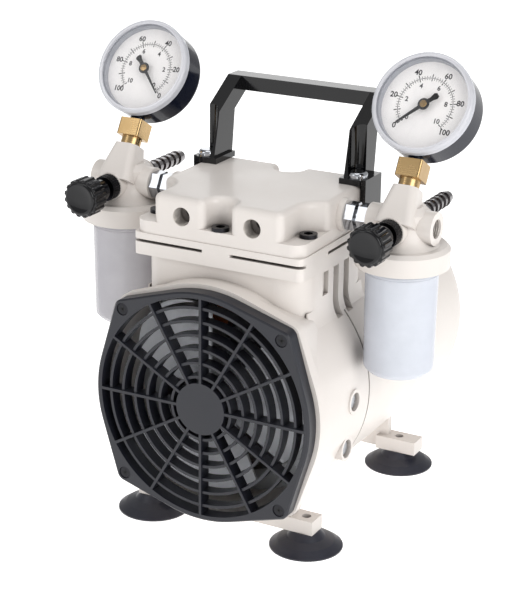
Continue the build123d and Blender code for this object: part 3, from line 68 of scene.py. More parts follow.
# Points closer than this are joined, and edges shorter than this are dropped, in metres.
MERGE_M = 1e-7
SLIVER_M = 1e-8


def linear(code: str, alpha: float = 1.0) -> tuple[float, float, float, float]:
    """Turns an sRGB hex colour into linear values.

    Args:
        code: Six hex digits.
        alpha: Fourth value of the result.

    Returns:
        Linear red, green, blue and alpha.
    """
    parts = [int(code[i:i + 2], 16) / 255 for i in (0, 2, 4)]
    flat = [c / 12.92 if c <= 0.04045 else ((c + 0.055) / 1.055) ** 2.4 for c in parts]
    return (flat[0], flat[1], flat[2], alpha)


def add_node(tree: bpy.types.NodeTree, kind: str, values: dict | None = None,
             links: dict | None = None, **settings) -> bpy.types.Node:
    """Adds one node with its settings, socket values and incoming links.

    Args:
        tree: Node tree that gets the node.
        kind: Blender's node type name.
        values: Socket name or index to value.
        links: Socket name or index to the output socket that feeds it.
        **settings: Properties set on the node itself.

    Returns:
        The new node.
    """
    node = tree.nodes.new(kind)
    for name, value in settings.items():
        setattr(node, name, value)
    for name, value in (values or {}).items():
        node.inputs[name].default_value = value
    for name, socket in (links or {}).items():
        tree.links.new(socket, node.inputs[name])
    return node


def tree_of(name: str, sizes: dict[str, float | int]) -> tuple[bpy.types.NodeTree, dict]:
    """Starts a Geometry Nodes tree with named size inputs and a material input.

    Args:
        name: Name of the tree.
        sizes: Input name to default value; a whole number makes a whole-number input.

    Returns:
        The tree and its input sockets by name.
    """
    tree = bpy.data.node_groups.new(name, "GeometryNodeTree")
    for label, value in sizes.items():
        kind = "NodeSocketInt" if isinstance(value, int) else "NodeSocketFloat"
        tree.interface.new_socket(label, in_out="INPUT", socket_type=kind).default_value = value
    tree.interface.new_socket("Finish", in_out="INPUT", socket_type="NodeSocketMaterial")
    tree.interface.new_socket("Geometry", in_out="OUTPUT", socket_type="NodeSocketGeometry")
    return tree, {socket.name: socket for socket in add_node(tree, "NodeGroupInput").outputs}


def end_tree(tree: bpy.types.NodeTree, instances: bpy.types.NodeSocket,
             finish: bpy.types.NodeSocket) -> None:
    """Ends a tree by making its copies real and giving them their finish.

    Args:
        tree: The tree.
        instances: Socket with the copies.
        finish: Socket with the material.
    """
    real = add_node(tree, "GeometryNodeRealizeInstances", links={0: instances}).outputs[0]
    dressed = add_node(tree, "GeometryNodeSetMaterial", links={"Geometry": real, "Material": finish})
    add_node(tree, "NodeGroupOutput", links={0: dressed.outputs[0]})


def turned_copies() -> bpy.types.NodeTree:
    """Makes the tree that sets blocks round an axis: dial ticks and knurls."""
    made = bpy.data.node_groups.get("turned_copies")
    if made:
        return made
    tree, size = tree_of("turned_copies", {"Count": 12, "Start": 0.0, "Step": 0.5, "Radius": 0.01,
                                           "Length": 0.001, "Width": 0.001, "Height": 0.001})
    block_size = add_node(tree, "ShaderNodeCombineXYZ",
                          links={0: size["Length"], 1: size["Width"], 2: size["Height"]})
    block = add_node(tree, "GeometryNodeMeshCube", links={"Size": block_size.outputs[0]})
    reach = add_node(tree, "ShaderNodeCombineXYZ", links={0: size["Radius"]})
    moved = add_node(tree, "GeometryNodeTransform",
                     links={"Geometry": block.outputs[0], "Translation": reach.outputs[0]})
    index = add_node(tree, "GeometryNodeInputIndex")
    turn = add_node(tree, "ShaderNodeMath", operation="MULTIPLY_ADD",
                    links={0: index.outputs[0], 1: size["Step"], 2: size["Start"]})
    euler = add_node(tree, "ShaderNodeCombineXYZ", links={2: turn.outputs[0]})
    rotation = add_node(tree, "FunctionNodeEulerToRotation", links={0: euler.outputs[0]})
    points = add_node(tree, "GeometryNodeMeshLine", {"Offset": (0.0, 0.0, 0.0)}, {"Count": size["Count"]})
    copies = add_node(tree, "GeometryNodeInstanceOnPoints",
                      links={"Points": points.outputs[0], "Instance": moved.outputs[0],
                             "Rotation": rotation.outputs[0]})
    end_tree(tree, copies.outputs[0], size["Finish"])
    return tree


def stacked_rings() -> bpy.types.NodeTree:
    """Makes the tree that stacks round rings along an axis: thread crests and moulded lines."""
    made = bpy.data.node_groups.get("stacked_rings")
    if made:
        return made
    tree, size = tree_of("stacked_rings", {"Count": 4, "Pitch": 0.001, "Radius": 0.01, "Section": 0.0003})
    circle = add_node(tree, "GeometryNodeCurvePrimitiveCircle", {"Resolution": 72},
                      {"Radius": size["Radius"]})
    section = add_node(tree, "GeometryNodeCurvePrimitiveCircle", {"Resolution": 8},
                       {"Radius": size["Section"]})
    ring = add_node(tree, "GeometryNodeCurveToMesh",
                    links={"Curve": circle.outputs[0], "Profile Curve": section.outputs[0]})
    step = add_node(tree, "ShaderNodeCombineXYZ", links={2: size["Pitch"]})
    points = add_node(tree, "GeometryNodeMeshLine",
                      links={"Count": size["Count"], "Offset": step.outputs[0]})
    copies = add_node(tree, "GeometryNodeInstanceOnPoints",
                      links={"Points": points.outputs[0], "Instance": ring.outputs[0]})
    end_tree(tree, copies.outputs[0], size["Finish"])
    return tree


def cross_marks() -> bpy.types.NodeTree:
    """Makes the tree that sets a flat cross, the painted shade of a cross recess, at each corner of a
    rectangle.
    """
    made = bpy.data.node_groups.get("cross_marks")
    if made:
        return made
    tree, size = tree_of("cross_marks", {"Across": 0.1, "Up": 0.1, "Span": 0.004, "Slot": 0.001,
                                         "Depth": 0.0002})
    arms = []
    for first, second in (("Span", "Slot"), ("Slot", "Span")):
        arm_size = add_node(tree, "ShaderNodeCombineXYZ",
                            links={0: size[first], 1: size[second], 2: size["Depth"]})
        arms.append(add_node(tree, "GeometryNodeMeshCube", links={"Size": arm_size.outputs[0]}).outputs[0])
    cross = add_node(tree, "GeometryNodeJoinGeometry")
    for arm in arms:
        tree.links.new(arm, cross.inputs[0])
    corners = add_node(tree, "GeometryNodeMeshGrid", {"Vertices X": 2, "Vertices Y": 2},
                       {"Size X": size["Across"], "Size Y": size["Up"]})
    copies = add_node(tree, "GeometryNodeInstanceOnPoints",
                      links={"Points": corners.outputs[0], "Instance": cross.outputs[0]})
    end_tree(tree, copies.outputs[0], size["Finish"])
    return tree


def facing(centre: Vector, outward: Vector, sideways: Vector) -> Matrix:
    """Gives the placing whose z axis points outward and whose x axis points sideways.

    Args:
        centre: Origin in metres.
        outward: Direction of the z axis.
        sideways: Direction of the x axis, square to outward.

    Returns:
        The placing as a matrix.
    """
    z_axis, x_axis = outward.normalized(), sideways.normalized()
    turn = Matrix((x_axis, z_axis.cross(x_axis), z_axis)).transposed()
    return Matrix.Translation(centre) @ turn.to_4x4()


def settle(name: str, mesh: bpy.types.Mesh, place: Matrix, finish: "Finish | ClearFinish", body: str) -> bpy.types.Object:
    """Puts a mesh in place, closes its seams and makes it ride its body.

    Args:
        name: Piece name.
        mesh: Its mesh, about its own origin.
        place: Where it goes.
        finish: Its finish.
        body: The body that carries it.

    Returns:
        The finished piece.
    """
    mesh.transform(place)
    work = bmesh.new()
    work.from_mesh(mesh)
    bmesh.ops.remove_doubles(work, verts=work.verts, dist=MERGE_M)
    bmesh.ops.recalc_face_normals(work, faces=work.faces)
    work.to_mesh(mesh)
    work.free()
    mesh.materials.clear()
    mesh.materials.append(finish.build())
    mesh.name = name
    piece = bpy.data.objects.new(name, mesh)
    bpy.context.collection.objects.link(piece)
    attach(piece, body)
    log.info("made %s, %d faces, on %s", name, len(mesh.polygons), body)
    return piece


def grown(tree: bpy.types.NodeTree, sizes: dict[str, float | int],
          finish: "Finish | ClearFinish") -> bpy.types.Mesh:
    """Runs a Geometry Nodes tree once and keeps its plain mesh.

    Args:
        tree: The tree.
        sizes: Input name to value, lengths in metres.
        finish: Finish of the copies.

    Returns:
        The mesh about its own origin.
    """
    seed = bpy.data.objects.new("seed", bpy.data.meshes.new("seed"))
    bpy.context.collection.objects.link(seed)
    form = seed.modifiers.new("form", "NODES")
    form.node_group = tree
    values = {**sizes, "Finish": finish.build()}
    for item in tree.interface.items_tree:
        if item.item_type == "SOCKET" and item.in_out == "INPUT":
            form[item.identifier] = values[item.name]
    bpy.context.view_layer.update()
    shape = seed.evaluated_get(bpy.context.evaluated_depsgraph_get())
    mesh = bpy.data.meshes.new_from_object(shape)
    seed.modifiers.remove(form)
    bpy.data.objects.remove(seed)
    return mesh


def turned(profile: list[tuple[float, float]], sides: int = 64, closed: bool = False) -> bpy.types.Mesh:
    """Turns a profile about the z axis into a closed mesh.

    Args:
        profile: Radius and height of each point in millimetres; a solid starts and ends at radius 0.
        sides: Faces round the axis.
        closed: True for a ring, whose profile joins its own start.

    Returns:
        The mesh in metres.
    """
    work = bmesh.new()
    rows = []
    for i in range(sides):
        angle = 2 * math.pi * i / sides
        rows.append([work.verts.new((r * MM * math.cos(angle), r * MM * math.sin(angle), z * MM))
                     for r, z in profile])
    spans = len(profile) if closed else len(profile) - 1
    for i in range(sides):
        this, following = rows[i], rows[(i + 1) % sides]
        for k in range(spans):
            after = (k + 1) % len(profile)
            work.faces.new((this[k], following[k], following[after], this[after]))
    bmesh.ops.remove_doubles(work, verts=work.verts, dist=MERGE_M)
    bmesh.ops.dissolve_degenerate(work, edges=work.edges, dist=SLIVER_M)
    mesh = bpy.data.meshes.new("turned")
    work.to_mesh(mesh)
    work.free()
    return mesh


# ---------------------------------------------------------------- finishes

class Grain(Enum):
    """How a surface was made, which sets the form of its fine relief."""

    CAST = "cast"
    MOULDED = "moulded"
    TURNED = "turned"
    PLATED = "plated"


# Part of the noise between its dull and its glossy patches.
PATCH_SPREAD = (0.3, 0.7)

# How far from a corner dust and painted shade reach, and how shut a corner is where they are thickest and
# where they end.
DIRT_AND_SHADE_REACH_MM = 12
DIRT_AND_SHADE_SHUT = (0.05, 0.6)


@dataclass(frozen=True)
class Finish:
    """A solid finish: a base colour that drifts a little, with fine relief and uneven gloss.

    Attributes:
        name: Material name.
        colour: Main sRGB colour.
        drift: Second sRGB colour that the main one drifts to.
        roughness: Lowest and highest roughness.
        metallic: 0 for paint, plastic and rubber, 1 for bare metal.
        grain: How the surface was made.
        grain_mm: Size of the relief in millimetres.
        relief_mm: Height of the relief in millimetres.
        patch_mm: Size of the patches of colour and gloss in millimetres.
        coat: Weight of a clear coat.
        specular: Strength of the surface's own shine.
        corner_dirt_and_shade: Share of a second colour laid in shut corners: lighter dust on the nylon and
            the rubber, painted shade on the other finishes.
        corner_dirt_and_shade_colour: sRGB colour of that dust, and of that painted shade.
    """

    name: str
    colour: str
    drift: str
    roughness: tuple[float, float]
    metallic: float = 0.0
    grain: Grain = Grain.MOULDED
    grain_mm: float = 0.8
    relief_mm: float = 0.02
    patch_mm: float = 30.0
    coat: float = 0.0
    specular: float = 0.5
    corner_dirt_and_shade: float = 0.0
    corner_dirt_and_shade_colour: str = "3A3530"

    def build(self) -> bpy.types.Material:
        """Makes the material, or returns the one already made."""
        made = bpy.data.materials.get(self.name)
        if made:
            return made
        mat = bpy.data.materials.new(self.name)
        mat.use_nodes = True
        tree = mat.node_tree
        tree.nodes.clear()
        place = add_node(tree, "ShaderNodeTexCoord").outputs["Object"]
        patches = add_node(tree, "ShaderNodeTexNoise",
                           {"Scale": 1 / (self.patch_mm * MM), "Detail": 4.0, "Roughness": 0.6},
                           {"Vector": place})
        base = add_node(tree, "ShaderNodeMix", {6: linear(self.colour), 7: linear(self.drift)},
                        {0: patches.outputs["Fac"]}, data_type="RGBA").outputs[2]
        # Painted shade: where ambient occlusion finds a shut corner, slot or groove, the colour is
        # darkened; on nylon and rubber a lighter dust colour is laid there instead.
        if self.corner_dirt_and_shade:
            corner = add_node(tree, "ShaderNodeAmbientOcclusion", {"Distance": DIRT_AND_SHADE_REACH_MM * MM},
                              samples=8)
            dirt_and_shade_share = add_node(tree, "ShaderNodeMapRange",
                             {1: DIRT_AND_SHADE_SHUT[0], 2: DIRT_AND_SHADE_SHUT[1], 3: self.corner_dirt_and_shade, 4: 0.0},
                             {0: corner.outputs["AO"]})
            base = add_node(tree, "ShaderNodeMix", {7: linear(self.corner_dirt_and_shade_colour)},
                            {0: dirt_and_shade_share.outputs[0], 6: base}, data_type="RGBA").outputs[2]
        low, high = self.roughness
        gloss = add_node(tree, "ShaderNodeMapRange",
                         {1: PATCH_SPREAD[0], 2: PATCH_SPREAD[1], 3: low, 4: high},
                         {0: patches.outputs["Fac"]})
        normal = self._relief(tree, place)
        shader = add_node(tree, "ShaderNodeBsdfPrincipled",
                          {"Metallic": self.metallic, "Coat Weight": self.coat,
                           "Specular IOR Level": self.specular},
                          {"Base Color": base, "Roughness": gloss.outputs[0], "Normal": normal})
        add_node(tree, "ShaderNodeOutputMaterial", links={"Surface": shader.outputs[0]})
        return mat

    def _relief(self, tree: bpy.types.NodeTree, place: bpy.types.NodeSocket) -> bpy.types.NodeSocket:
        """Adds the fine relief.

        Args:
            tree: Node tree of the material.
            place: Object coordinates.

        Returns:
            The normal output.
        """
        if self.grain is Grain.TURNED:
            height = add_node(tree, "ShaderNodeTexWave",
                              {"Scale": 0.16 / (self.grain_mm * MM), "Distortion": 2.0, "Detail": 2.0},
                              {"Vector": place}, bands_direction="Z").outputs["Fac"]
        elif self.grain is Grain.MOULDED:
            height = add_node(tree, "ShaderNodeTexVoronoi", {"Scale": 1 / (self.grain_mm * MM)},
                              {"Vector": place}, feature="SMOOTH_F1").outputs["Distance"]
        else:
            height = add_node(tree, "ShaderNodeTexNoise",
                              {"Scale": 1 / (self.grain_mm * MM), "Detail": 3.0},
                              {"Vector": place}).outputs["Fac"]
        bump = add_node(tree, "ShaderNodeBump", {"Strength": 0.6, "Distance": self.relief_mm * MM},
                        {"Height": height})
        return bump.outputs[0]


@dataclass(frozen=True)
class Bezel:
    """The thick rim of a round clear cover, made partly opaque in a light tint: partly its real thickness,
    partly painted highlight where it catches light.

    Attributes:
        centre: Middle of the right-hand cover in metres; the left one mirrors it.
        normal: Direction that the cover faces.
        inner_mm: Radius where the rim starts.
        solid: Share of light that the rim holds back.
        fade_mm: Width over which the rim starts.
    """

    centre: tuple[float, float, float]
    normal: tuple[float, float, float]
    inner_mm: float
    solid: float
    fade_mm: float = 0.6

    def mask(self, tree: bpy.types.NodeTree, place: bpy.types.NodeSocket) -> bpy.types.NodeSocket:
        """Adds the nodes that find the rim.

        Args:
            tree: Node tree of the material.
            place: Object coordinates.

        Returns:
            A value that is the rim's solidity on it and 0 inside it.
        """
        mirrored = add_node(tree, "ShaderNodeVectorMath", links={0: place}, operation="ABSOLUTE")
        sides = add_node(tree, "ShaderNodeSeparateXYZ", links={0: mirrored.outputs[0]})
        own = add_node(tree, "ShaderNodeSeparateXYZ", links={0: place})
        right = add_node(tree, "ShaderNodeCombineXYZ",
                         links={0: sides.outputs[0], 1: own.outputs[1], 2: own.outputs[2]})
        offset = add_node(tree, "ShaderNodeVectorMath", {1: self.centre}, {0: right.outputs[0]},
                          operation="SUBTRACT")
        across = add_node(tree, "ShaderNodeVectorMath", {1: self.normal}, {0: offset.outputs[0]},
                          operation="CROSS_PRODUCT")
        radius = add_node(tree, "ShaderNodeVectorMath", links={0: across.outputs[0]}, operation="LENGTH")
        full_mm = self.inner_mm + self.fade_mm
        return add_node(tree, "ShaderNodeMapRange",
                        {1: self.inner_mm * MM, 2: full_mm * MM, 3: 0.0, 4: self.solid},
                        {0: radius.outputs["Value"]}, interpolation_type="SMOOTHSTEP").outputs[0]


@dataclass(frozen=True)
class ClearFinish:
    """A see-through moulding: tinted, a little cloudy, and bright where it turns away.

    Attributes:
        name: Material name.
        tint: sRGB colour of the plastic, seen square on.
        edge_tint: sRGB colour where its wall is seen edge-on.
        clarity: Share of light that passes straight through it.
        roughness: Surface roughness.
        edge: Share of the tint added where the wall is seen edge-on.
        bezel: Thick rim of a round cover, where it has one.
        haze: How much the cloudiness goes up and down.
        haze_mm: Size of the cloudy patches in millimetres.
        ripple_mm: Length of the waves in the moulded skin in millimetres.
        ripple_height_mm: Height of those waves in millimetres.
    """

    name: str
    tint: str
    edge_tint: str
    clarity: float
    roughness: float
    edge: float = 0.5
    bezel: Bezel | None = None
    haze: float = 0.04
    haze_mm: float = 14.0
    ripple_mm: float = 25.0
    ripple_height_mm: float = 0.15

    def build(self) -> bpy.types.Material:
        """Makes the material, or returns the one already made."""
        made = bpy.data.materials.get(self.name)
        if made:
            return made
        mat = bpy.data.materials.new(self.name)
        mat.use_nodes = True
        tree = mat.node_tree
        tree.nodes.clear()
        place = add_node(tree, "ShaderNodeTexCoord").outputs["Object"]
        haze = add_node(tree, "ShaderNodeTexNoise", {"Scale": 1 / (self.haze_mm * MM), "Detail": 3.0},
                        {"Vector": place})
        edge = add_node(tree, "ShaderNodeLayerWeight", {"Blend": 0.35})
        haze_range = add_node(tree, "ShaderNodeMapRange", {1: 0.2, 2: 0.8, 3: -self.haze, 4: self.haze},
                              {0: haze.outputs["Fac"]})
        middle, rim = 1 - self.clarity, min(1.0, 1 - self.clarity + self.edge)
        solid = add_node(tree, "ShaderNodeMapRange", {1: 0.0, 2: 1.0, 3: middle, 4: rim},
                         {0: edge.outputs["Facing"]})
        alpha = add_node(tree, "ShaderNodeMath", links={0: solid.outputs[0], 1: haze_range.outputs[0]},
                         operation="ADD", use_clamp=True)
        colour = add_node(tree, "ShaderNodeMix", {6: linear(self.tint), 7: linear(self.edge_tint)},
                          {0: edge.outputs["Facing"]}, data_type="RGBA")
        # Painted highlight: the lens's thick rim shows its light tint, partly opaque.
        if self.bezel:
            alpha = add_node(tree, "ShaderNodeMath", operation="MAXIMUM",
                             links={0: alpha.outputs[0], 1: self.bezel.mask(tree, place)})
        ripple = add_node(tree, "ShaderNodeTexNoise", {"Scale": 1 / (self.ripple_mm * MM)},
                          {"Vector": place})
        bump = add_node(tree, "ShaderNodeBump",
                        {"Strength": 0.3, "Distance": self.ripple_height_mm * MM},
                        {"Height": ripple.outputs["Fac"]})
        shader = add_node(tree, "ShaderNodeBsdfPrincipled",
                          {"Roughness": self.roughness, "IOR": 1.5},
                          {"Base Color": colour.outputs[2], "Alpha": alpha.outputs[0],
                           "Normal": bump.outputs[0]})
        add_node(tree, "ShaderNodeOutputMaterial", links={"Surface": shader.outputs[0]})
        return mat


# Sprayed enamel on die-cast aluminium: satin, warm off-white, with a slight orange peel, and painted shade
# that darkens its corners and slots.
CAST_ENAMEL = Finish("sprayed_enamel_on_cast_aluminium", "E0DAD5", "D9D2CC", (0.36, 0.48),
                     grain=Grain.CAST, grain_mm=1.8, relief_mm=0.06, patch_mm=45, coat=0.15,
                     corner_dirt_and_shade=0.85, corner_dirt_and_shade_colour="3F352D")
# Moulded glass-filled nylon: blue-black, half dull, with a fine pebble.
BLACK_NYLON = Finish("moulded_black_nylon", "15161E", "1B1D27", (0.30, 0.44), grain_mm=0.9,
                     relief_mm=0.03, corner_dirt_and_shade=0.2, corner_dirt_and_shade_colour="3A3835")
# Moulded phenolic resin, polished: black with soft sharp lights, as on small hand knobs.
GLOSS_PHENOLIC = Finish("polished_black_phenolic", "050508", "09090D", (0.07, 0.13), grain=Grain.PLATED,
                        grain_mm=5.0, relief_mm=0.02, specular=0.4)
# Moulded ABS, polished: deep black with sharp lights.
GLOSS_ABS = Finish("polished_black_abs", "060608", "0B0B0E", (0.10, 0.16), grain=Grain.PLATED,
                   grain_mm=9.0, relief_mm=0.03, specular=0.45)
# Nitrile rubber: soft black with a blue-grey sheen.
NITRILE_RUBBER = Finish("nitrile_rubber", "1C1D27", "262835", (0.30, 0.46), grain_mm=1.1,
                        relief_mm=0.03, patch_mm=12, corner_dirt_and_shade=0.25, corner_dirt_and_shade_colour="5B5750")
# Bright zinc-plated steel.
ZINC_STEEL = Finish("zinc_plated_steel", "B9BBBF", "9EA1A6", (0.24, 0.36), metallic=1.0,
                    grain=Grain.TURNED, grain_mm=0.5, relief_mm=0.01)
# Black-oxide alloy steel, as on socket screws, with painted shade that blackens its recesses.
BLACK_OXIDE = Finish("black_oxide_steel", "2A2A2D", "3A3A3D", (0.30, 0.45), metallic=1.0,
                     grain=Grain.TURNED, grain_mm=0.5, relief_mm=0.01, corner_dirt_and_shade=0.8, corner_dirt_and_shade_colour="060606")
# Anodised aluminium, dyed black, with cut knurls.
BLACK_ANODISED = Finish("black_anodised_aluminium", "1C1C20", "26262B", (0.28, 0.4), metallic=1.0,
                        grain=Grain.TURNED, grain_mm=0.6, relief_mm=0.01)
# Painted shade of a punched screw recess: its unlit floor, as a flat near-black colour.
PAINTED_RECESS_SHADE = Finish("painted_shade_of_screw_recess", "020202", "050505", (0.6, 0.7), grain=Grain.CAST, grain_mm=0.8,
                      relief_mm=0.01)
# Electroplated nickel-chrome over brass: dark reflections with bright edges, and painted shade in its
# corners.
CHROME_PLATE = Finish("chrome_plate_on_brass", "C4C6CA", "AEB1B7", (0.07, 0.14), metallic=1.0,
                      grain=Grain.PLATED, grain_mm=6.0, relief_mm=0.01, corner_dirt_and_shade=0.5, corner_dirt_and_shade_colour="1C1D22")
# Nickel-plated brass, dulled in use, with painted shade that darkens the grooves between bright crests.
DULL_NICKEL = Finish("nickel_plated_brass", "8F8C8D", "726F70", (0.12, 0.22), metallic=1.0,
                     grain=Grain.PLATED, grain_mm=3.0, relief_mm=0.02, corner_dirt_and_shade=0.85, corner_dirt_and_shade_colour="0D0C0E")
# Machined brass, bare: warm yellow with tool marks, and painted shade in its corners.
TURNED_BRASS = Finish("machined_brass", "C6A97C", "AA8D61", (0.20, 0.32), metallic=1.0,
                      grain=Grain.TURNED, grain_mm=0.6, relief_mm=0.012, corner_dirt_and_shade=0.4, corner_dirt_and_shade_colour="5C4320")
# Tapped aluminium in a port: painted shade darkens its thread roots, its crests still bright.
TAPPED_ALUMINIUM = Finish("tapped_aluminium", "DAD4CE", "C0BAB4", (0.3, 0.5), metallic=1.0,
                          grain=Grain.TURNED, grain_mm=0.6, relief_mm=0.01, corner_dirt_and_shade=0.35,
                          corner_dirt_and_shade_colour="16130F")
# Moulded light grey polypropylene of the fan.
GREY_POLYPROPYLENE = Finish("moulded_grey_polypropylene", "F2F4F9", "E8EAF0", (0.36, 0.48),
                            grain_mm=1.0, relief_mm=0.02)
# Moulded acetal, light grey and a little waxy.
GREY_ACETAL = Finish("moulded_grey_acetal", "A6A8AF", "9A9CA3", (0.25, 0.35), grain=Grain.CAST,
                     grain_mm=1.0, relief_mm=0.005)
# Baked gloss enamel on the gauge's steel case: navy black.
CASE_ENAMEL = Finish("baked_navy_black_enamel", "11141F", "171B2A", (0.12, 0.18), grain=Grain.PLATED,
                     grain_mm=2.5, relief_mm=0.006, specular=0.2)
# White enamelled dial plate.
DIAL_ENAMEL = Finish("white_dial_enamel", "FFFCFB", "FAF7F5", (0.45, 0.55), grain=Grain.CAST,
                     grain_mm=1.0, relief_mm=0.004)
# Screen-printed ink on the dial, faintly broken like all print.
DIAL_INK = Finish("screen_printed_ink", "141416", "222225", (0.45, 0.6), grain=Grain.CAST,
                  grain_mm=0.5, relief_mm=0.003, patch_mm=2.0)
# Lacquered pressed-steel pointer.
BLACK_LACQUER = Finish("black_pointer_lacquer", "0B0B0D", "141416", (0.30, 0.4), grain=Grain.CAST,
                       grain_mm=0.8, relief_mm=0.003)
# Varnished copper winding.
WINDING_COPPER = Finish("varnished_copper_wire", "9A5A34", "7C4526", (0.25, 0.4), metallic=1.0,
                        grain=Grain.TURNED, grain_mm=0.9, relief_mm=0.2)
# Stacked electrical steel sheets.
LAMINATED_STEEL = Finish("stacked_electrical_steel", "6E7073", "5B5C5F", (0.4, 0.55), metallic=1.0,
                         grain=Grain.TURNED, grain_mm=0.6, relief_mm=0.05)
# As-cast aluminium with a bare, grainy skin.
BARE_ALUMINIUM = Finish("bare_cast_aluminium", "B4B6B8", "A3A5A8", (0.42, 0.56), metallic=1.0,
                        grain=Grain.CAST, grain_mm=0.9, relief_mm=0.05)
# Rolled spring steel strip.
SPRING_STEEL = Finish("rolled_spring_steel", "A8AAAD", "9A9CA0", (0.18, 0.28), metallic=1.0,
                      grain=Grain.TURNED, grain_mm=0.4, relief_mm=0.005)
# Moulded polycarbonate jar: clear, cool and milky, darker where its wall is seen edge-on.
JAR_POLYCARBONATE = ClearFinish("clear_polycarbonate_jar", "E8ECF4", "B4B9C6", 0.42, 0.14, 0.4)
# The same moulding made greyer and warmer for the left jar: painted shade, as that jar stands away from
# the key light.
JAR_IN_PAINTED_SHADE = ClearFinish("painted_shade_polycarbonate_jar", "D2D0D5", "A19EA6", 0.48, 0.16, 0.3)
# Pressed acrylic lens of the gauge: almost nothing but its edge and its shine.
LENS_ACRYLIC = ClearFinish("clear_acrylic_lens", "E2E2E7", "BFC3CC", 1.0, 0.08, 0.25)
# Where the lens starts to thicken to its rim, and the share of light that this rim holds back; the rim's
# light tint there is partly painted highlight.
LENS_RIM_MM = 30.6
LENS_RIM_SOLID = 0.74


# ---------------------------------------------------------------- dressing the solids

FINISH_OF_SLOT: dict[str, Finish | ClearFinish] = {
    "cream_paint": CAST_ENAMEL,
    "black_plastic": BLACK_NYLON,
    "handle_black": GLOSS_ABS,
    "rubber": NITRILE_RUBBER,
    "steel": ZINC_STEEL,
    "laminations": LAMINATED_STEEL,
    "copper": WINDING_COPPER,
    "aluminium": BARE_ALUMINIUM,
    "black_screw": BLACK_OXIDE,
    "chrome": CHROME_PLATE,
    "brass": TURNED_BRASS,
    "fan_grey": GREY_POLYPROPYLENE,
    "jar_clear": JAR_POLYCARBONATE,
    "lens_clear": LENS_ACRYLIC,
    "gauge_black": CASE_ENAMEL,
    "dial_white": DIAL_ENAMEL,
    "pointer_black": BLACK_LACQUER,
    "spring_steel": SPRING_STEEL,
}


# Nodes whose finish differs from that of their slot.
FINISH_OF_NODE: dict[str, Finish | ClearFinish] = {
    # Painted shade: the left jar takes a greyer copy of the jar's finish.
    "left_jar": JAR_IN_PAINTED_SHADE,
    "left_hose_barb": DULL_NICKEL,
    "right_hose_barb": DULL_NICKEL,
    "left_knob": GLOSS_PHENOLIC,
    "right_knob": GLOSS_PHENOLIC,
    "left_valve_bush": BLACK_ANODISED,
    "right_valve_bush": BLACK_ANODISED,
}


def joint_of(frame: dict, name: str) -> dict:
    """Finds one joint of the record.

    Args:
        name: The joint's name.

    Returns:
        The joint's entry.
    """
    return next(j for j in frame["record"]["behaviour"]["joints"] if j["name"] == name)


@dataclass
class PumpSolids:
    """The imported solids, each dressed in the finish of its material slot.

    Attributes:
    """

    frame: dict

    def dress(self) -> None:
        """Gives every solid its finish."""
        finish_of_slot = {**FINISH_OF_SLOT, "lens_clear": self._lens_finish()}
        for part in self.frame["record"]["subparts"]:
            solid = self.frame["nodes"][part["node"]]
            chosen = FINISH_OF_NODE.get(part["node"], finish_of_slot[part["material_slot"]])
            finish = chosen.build()
            if not solid.material_slots:
                solid.data.materials.append(finish)
            for slot in solid.material_slots:
                slot.material = finish
            log.info("dressed %s in %s", part["node"], finish.name)

    def _lens_finish(self) -> ClearFinish:
        """Gives the lens its rim, which runs round the pointer's own axis."""
        pointer = joint_of(self.frame, "right_pointer_turn")
        rim = Bezel(tuple(pointer["pos_m"]), tuple(pointer["axis"]), LENS_RIM_MM, LENS_RIM_SOLID)
        return replace(LENS_ACRYLIC, bezel=rim)


# ---------------------------------------------------------------- sub-assemblies

class Side(Enum):
    """The side of the pump that a regulator stands on, seen from the front."""

    LEFT = "left"
    RIGHT = "right"

    @property
    def outward(self) -> Vector:
        """Direction away from the pump's middle."""
        return Vector((-1.0 if self is Side.LEFT else 1.0, 0, 0))


@dataclass(frozen=True)
class ScaleRow:
    """One of a dial's two scales, with its measures as shares of the dial's radius.

    Attributes:
        name: First word of its piece names.
        radius: Where its ticks start.
        short: Length of a short tick; below zero it points inwards.
        long: Length of a long tick.
        step: Difference between two numbers.
        number_radius: Where the middles of its numbers lie.
        digit: Height of a digit.
    """

    name: str
    radius: float
    short: float
    long: float
    step: int
    number_radius: float
    digit: float


OUTER_SCALE = ScaleRow("outer", 0.605, 0.03, 0.07, 20, 0.745, 0.115)
INNER_SCALE = ScaleRow("inner", 0.575, -0.03, -0.05, 2, 0.44, 0.10)

# Size of the type for a digit one high, and how much its strokes are fattened.
TYPE_PER_DIGIT = 1.4
STROKE_PER_DIGIT = 0.035

# Half the blade of a pointer, from its tip past the hub to its tail, in millimetres.
BLADE_OUTLINE = [(21.0, 0.25), (4.0, 1.05), (0.0, 1.7), (-6.0, 1.3), (-9.5, 2.3), (-10.6, 1.5)]
BLADE_MM = 0.35

# Radius and height of what is pressed on a pointer's pin, in millimetres.
DISC_PROFILE = [(0, 0), (3.9, 0), (3.9, 0.5), (3.6, 0.7), (0, 0.7)]
HUB_PROFILE = [(0, 0.6), (2.4, 0.6), (2.4, 1.1), (2.1, 1.4), (0, 1.5)]
SMALL_TURNED_SIDES = 48

# Radius and height of a knob's polished face, in millimetres.
DISH_PROFILE = [(0, -0.5), (11.4, -0.5), (11.4, 0.4), (10.8, 1.1), (10.0, 1.3), (9.0, 1.0),
                (6.5, 0.35), (3.5, 0.1), (0, 0.05)]


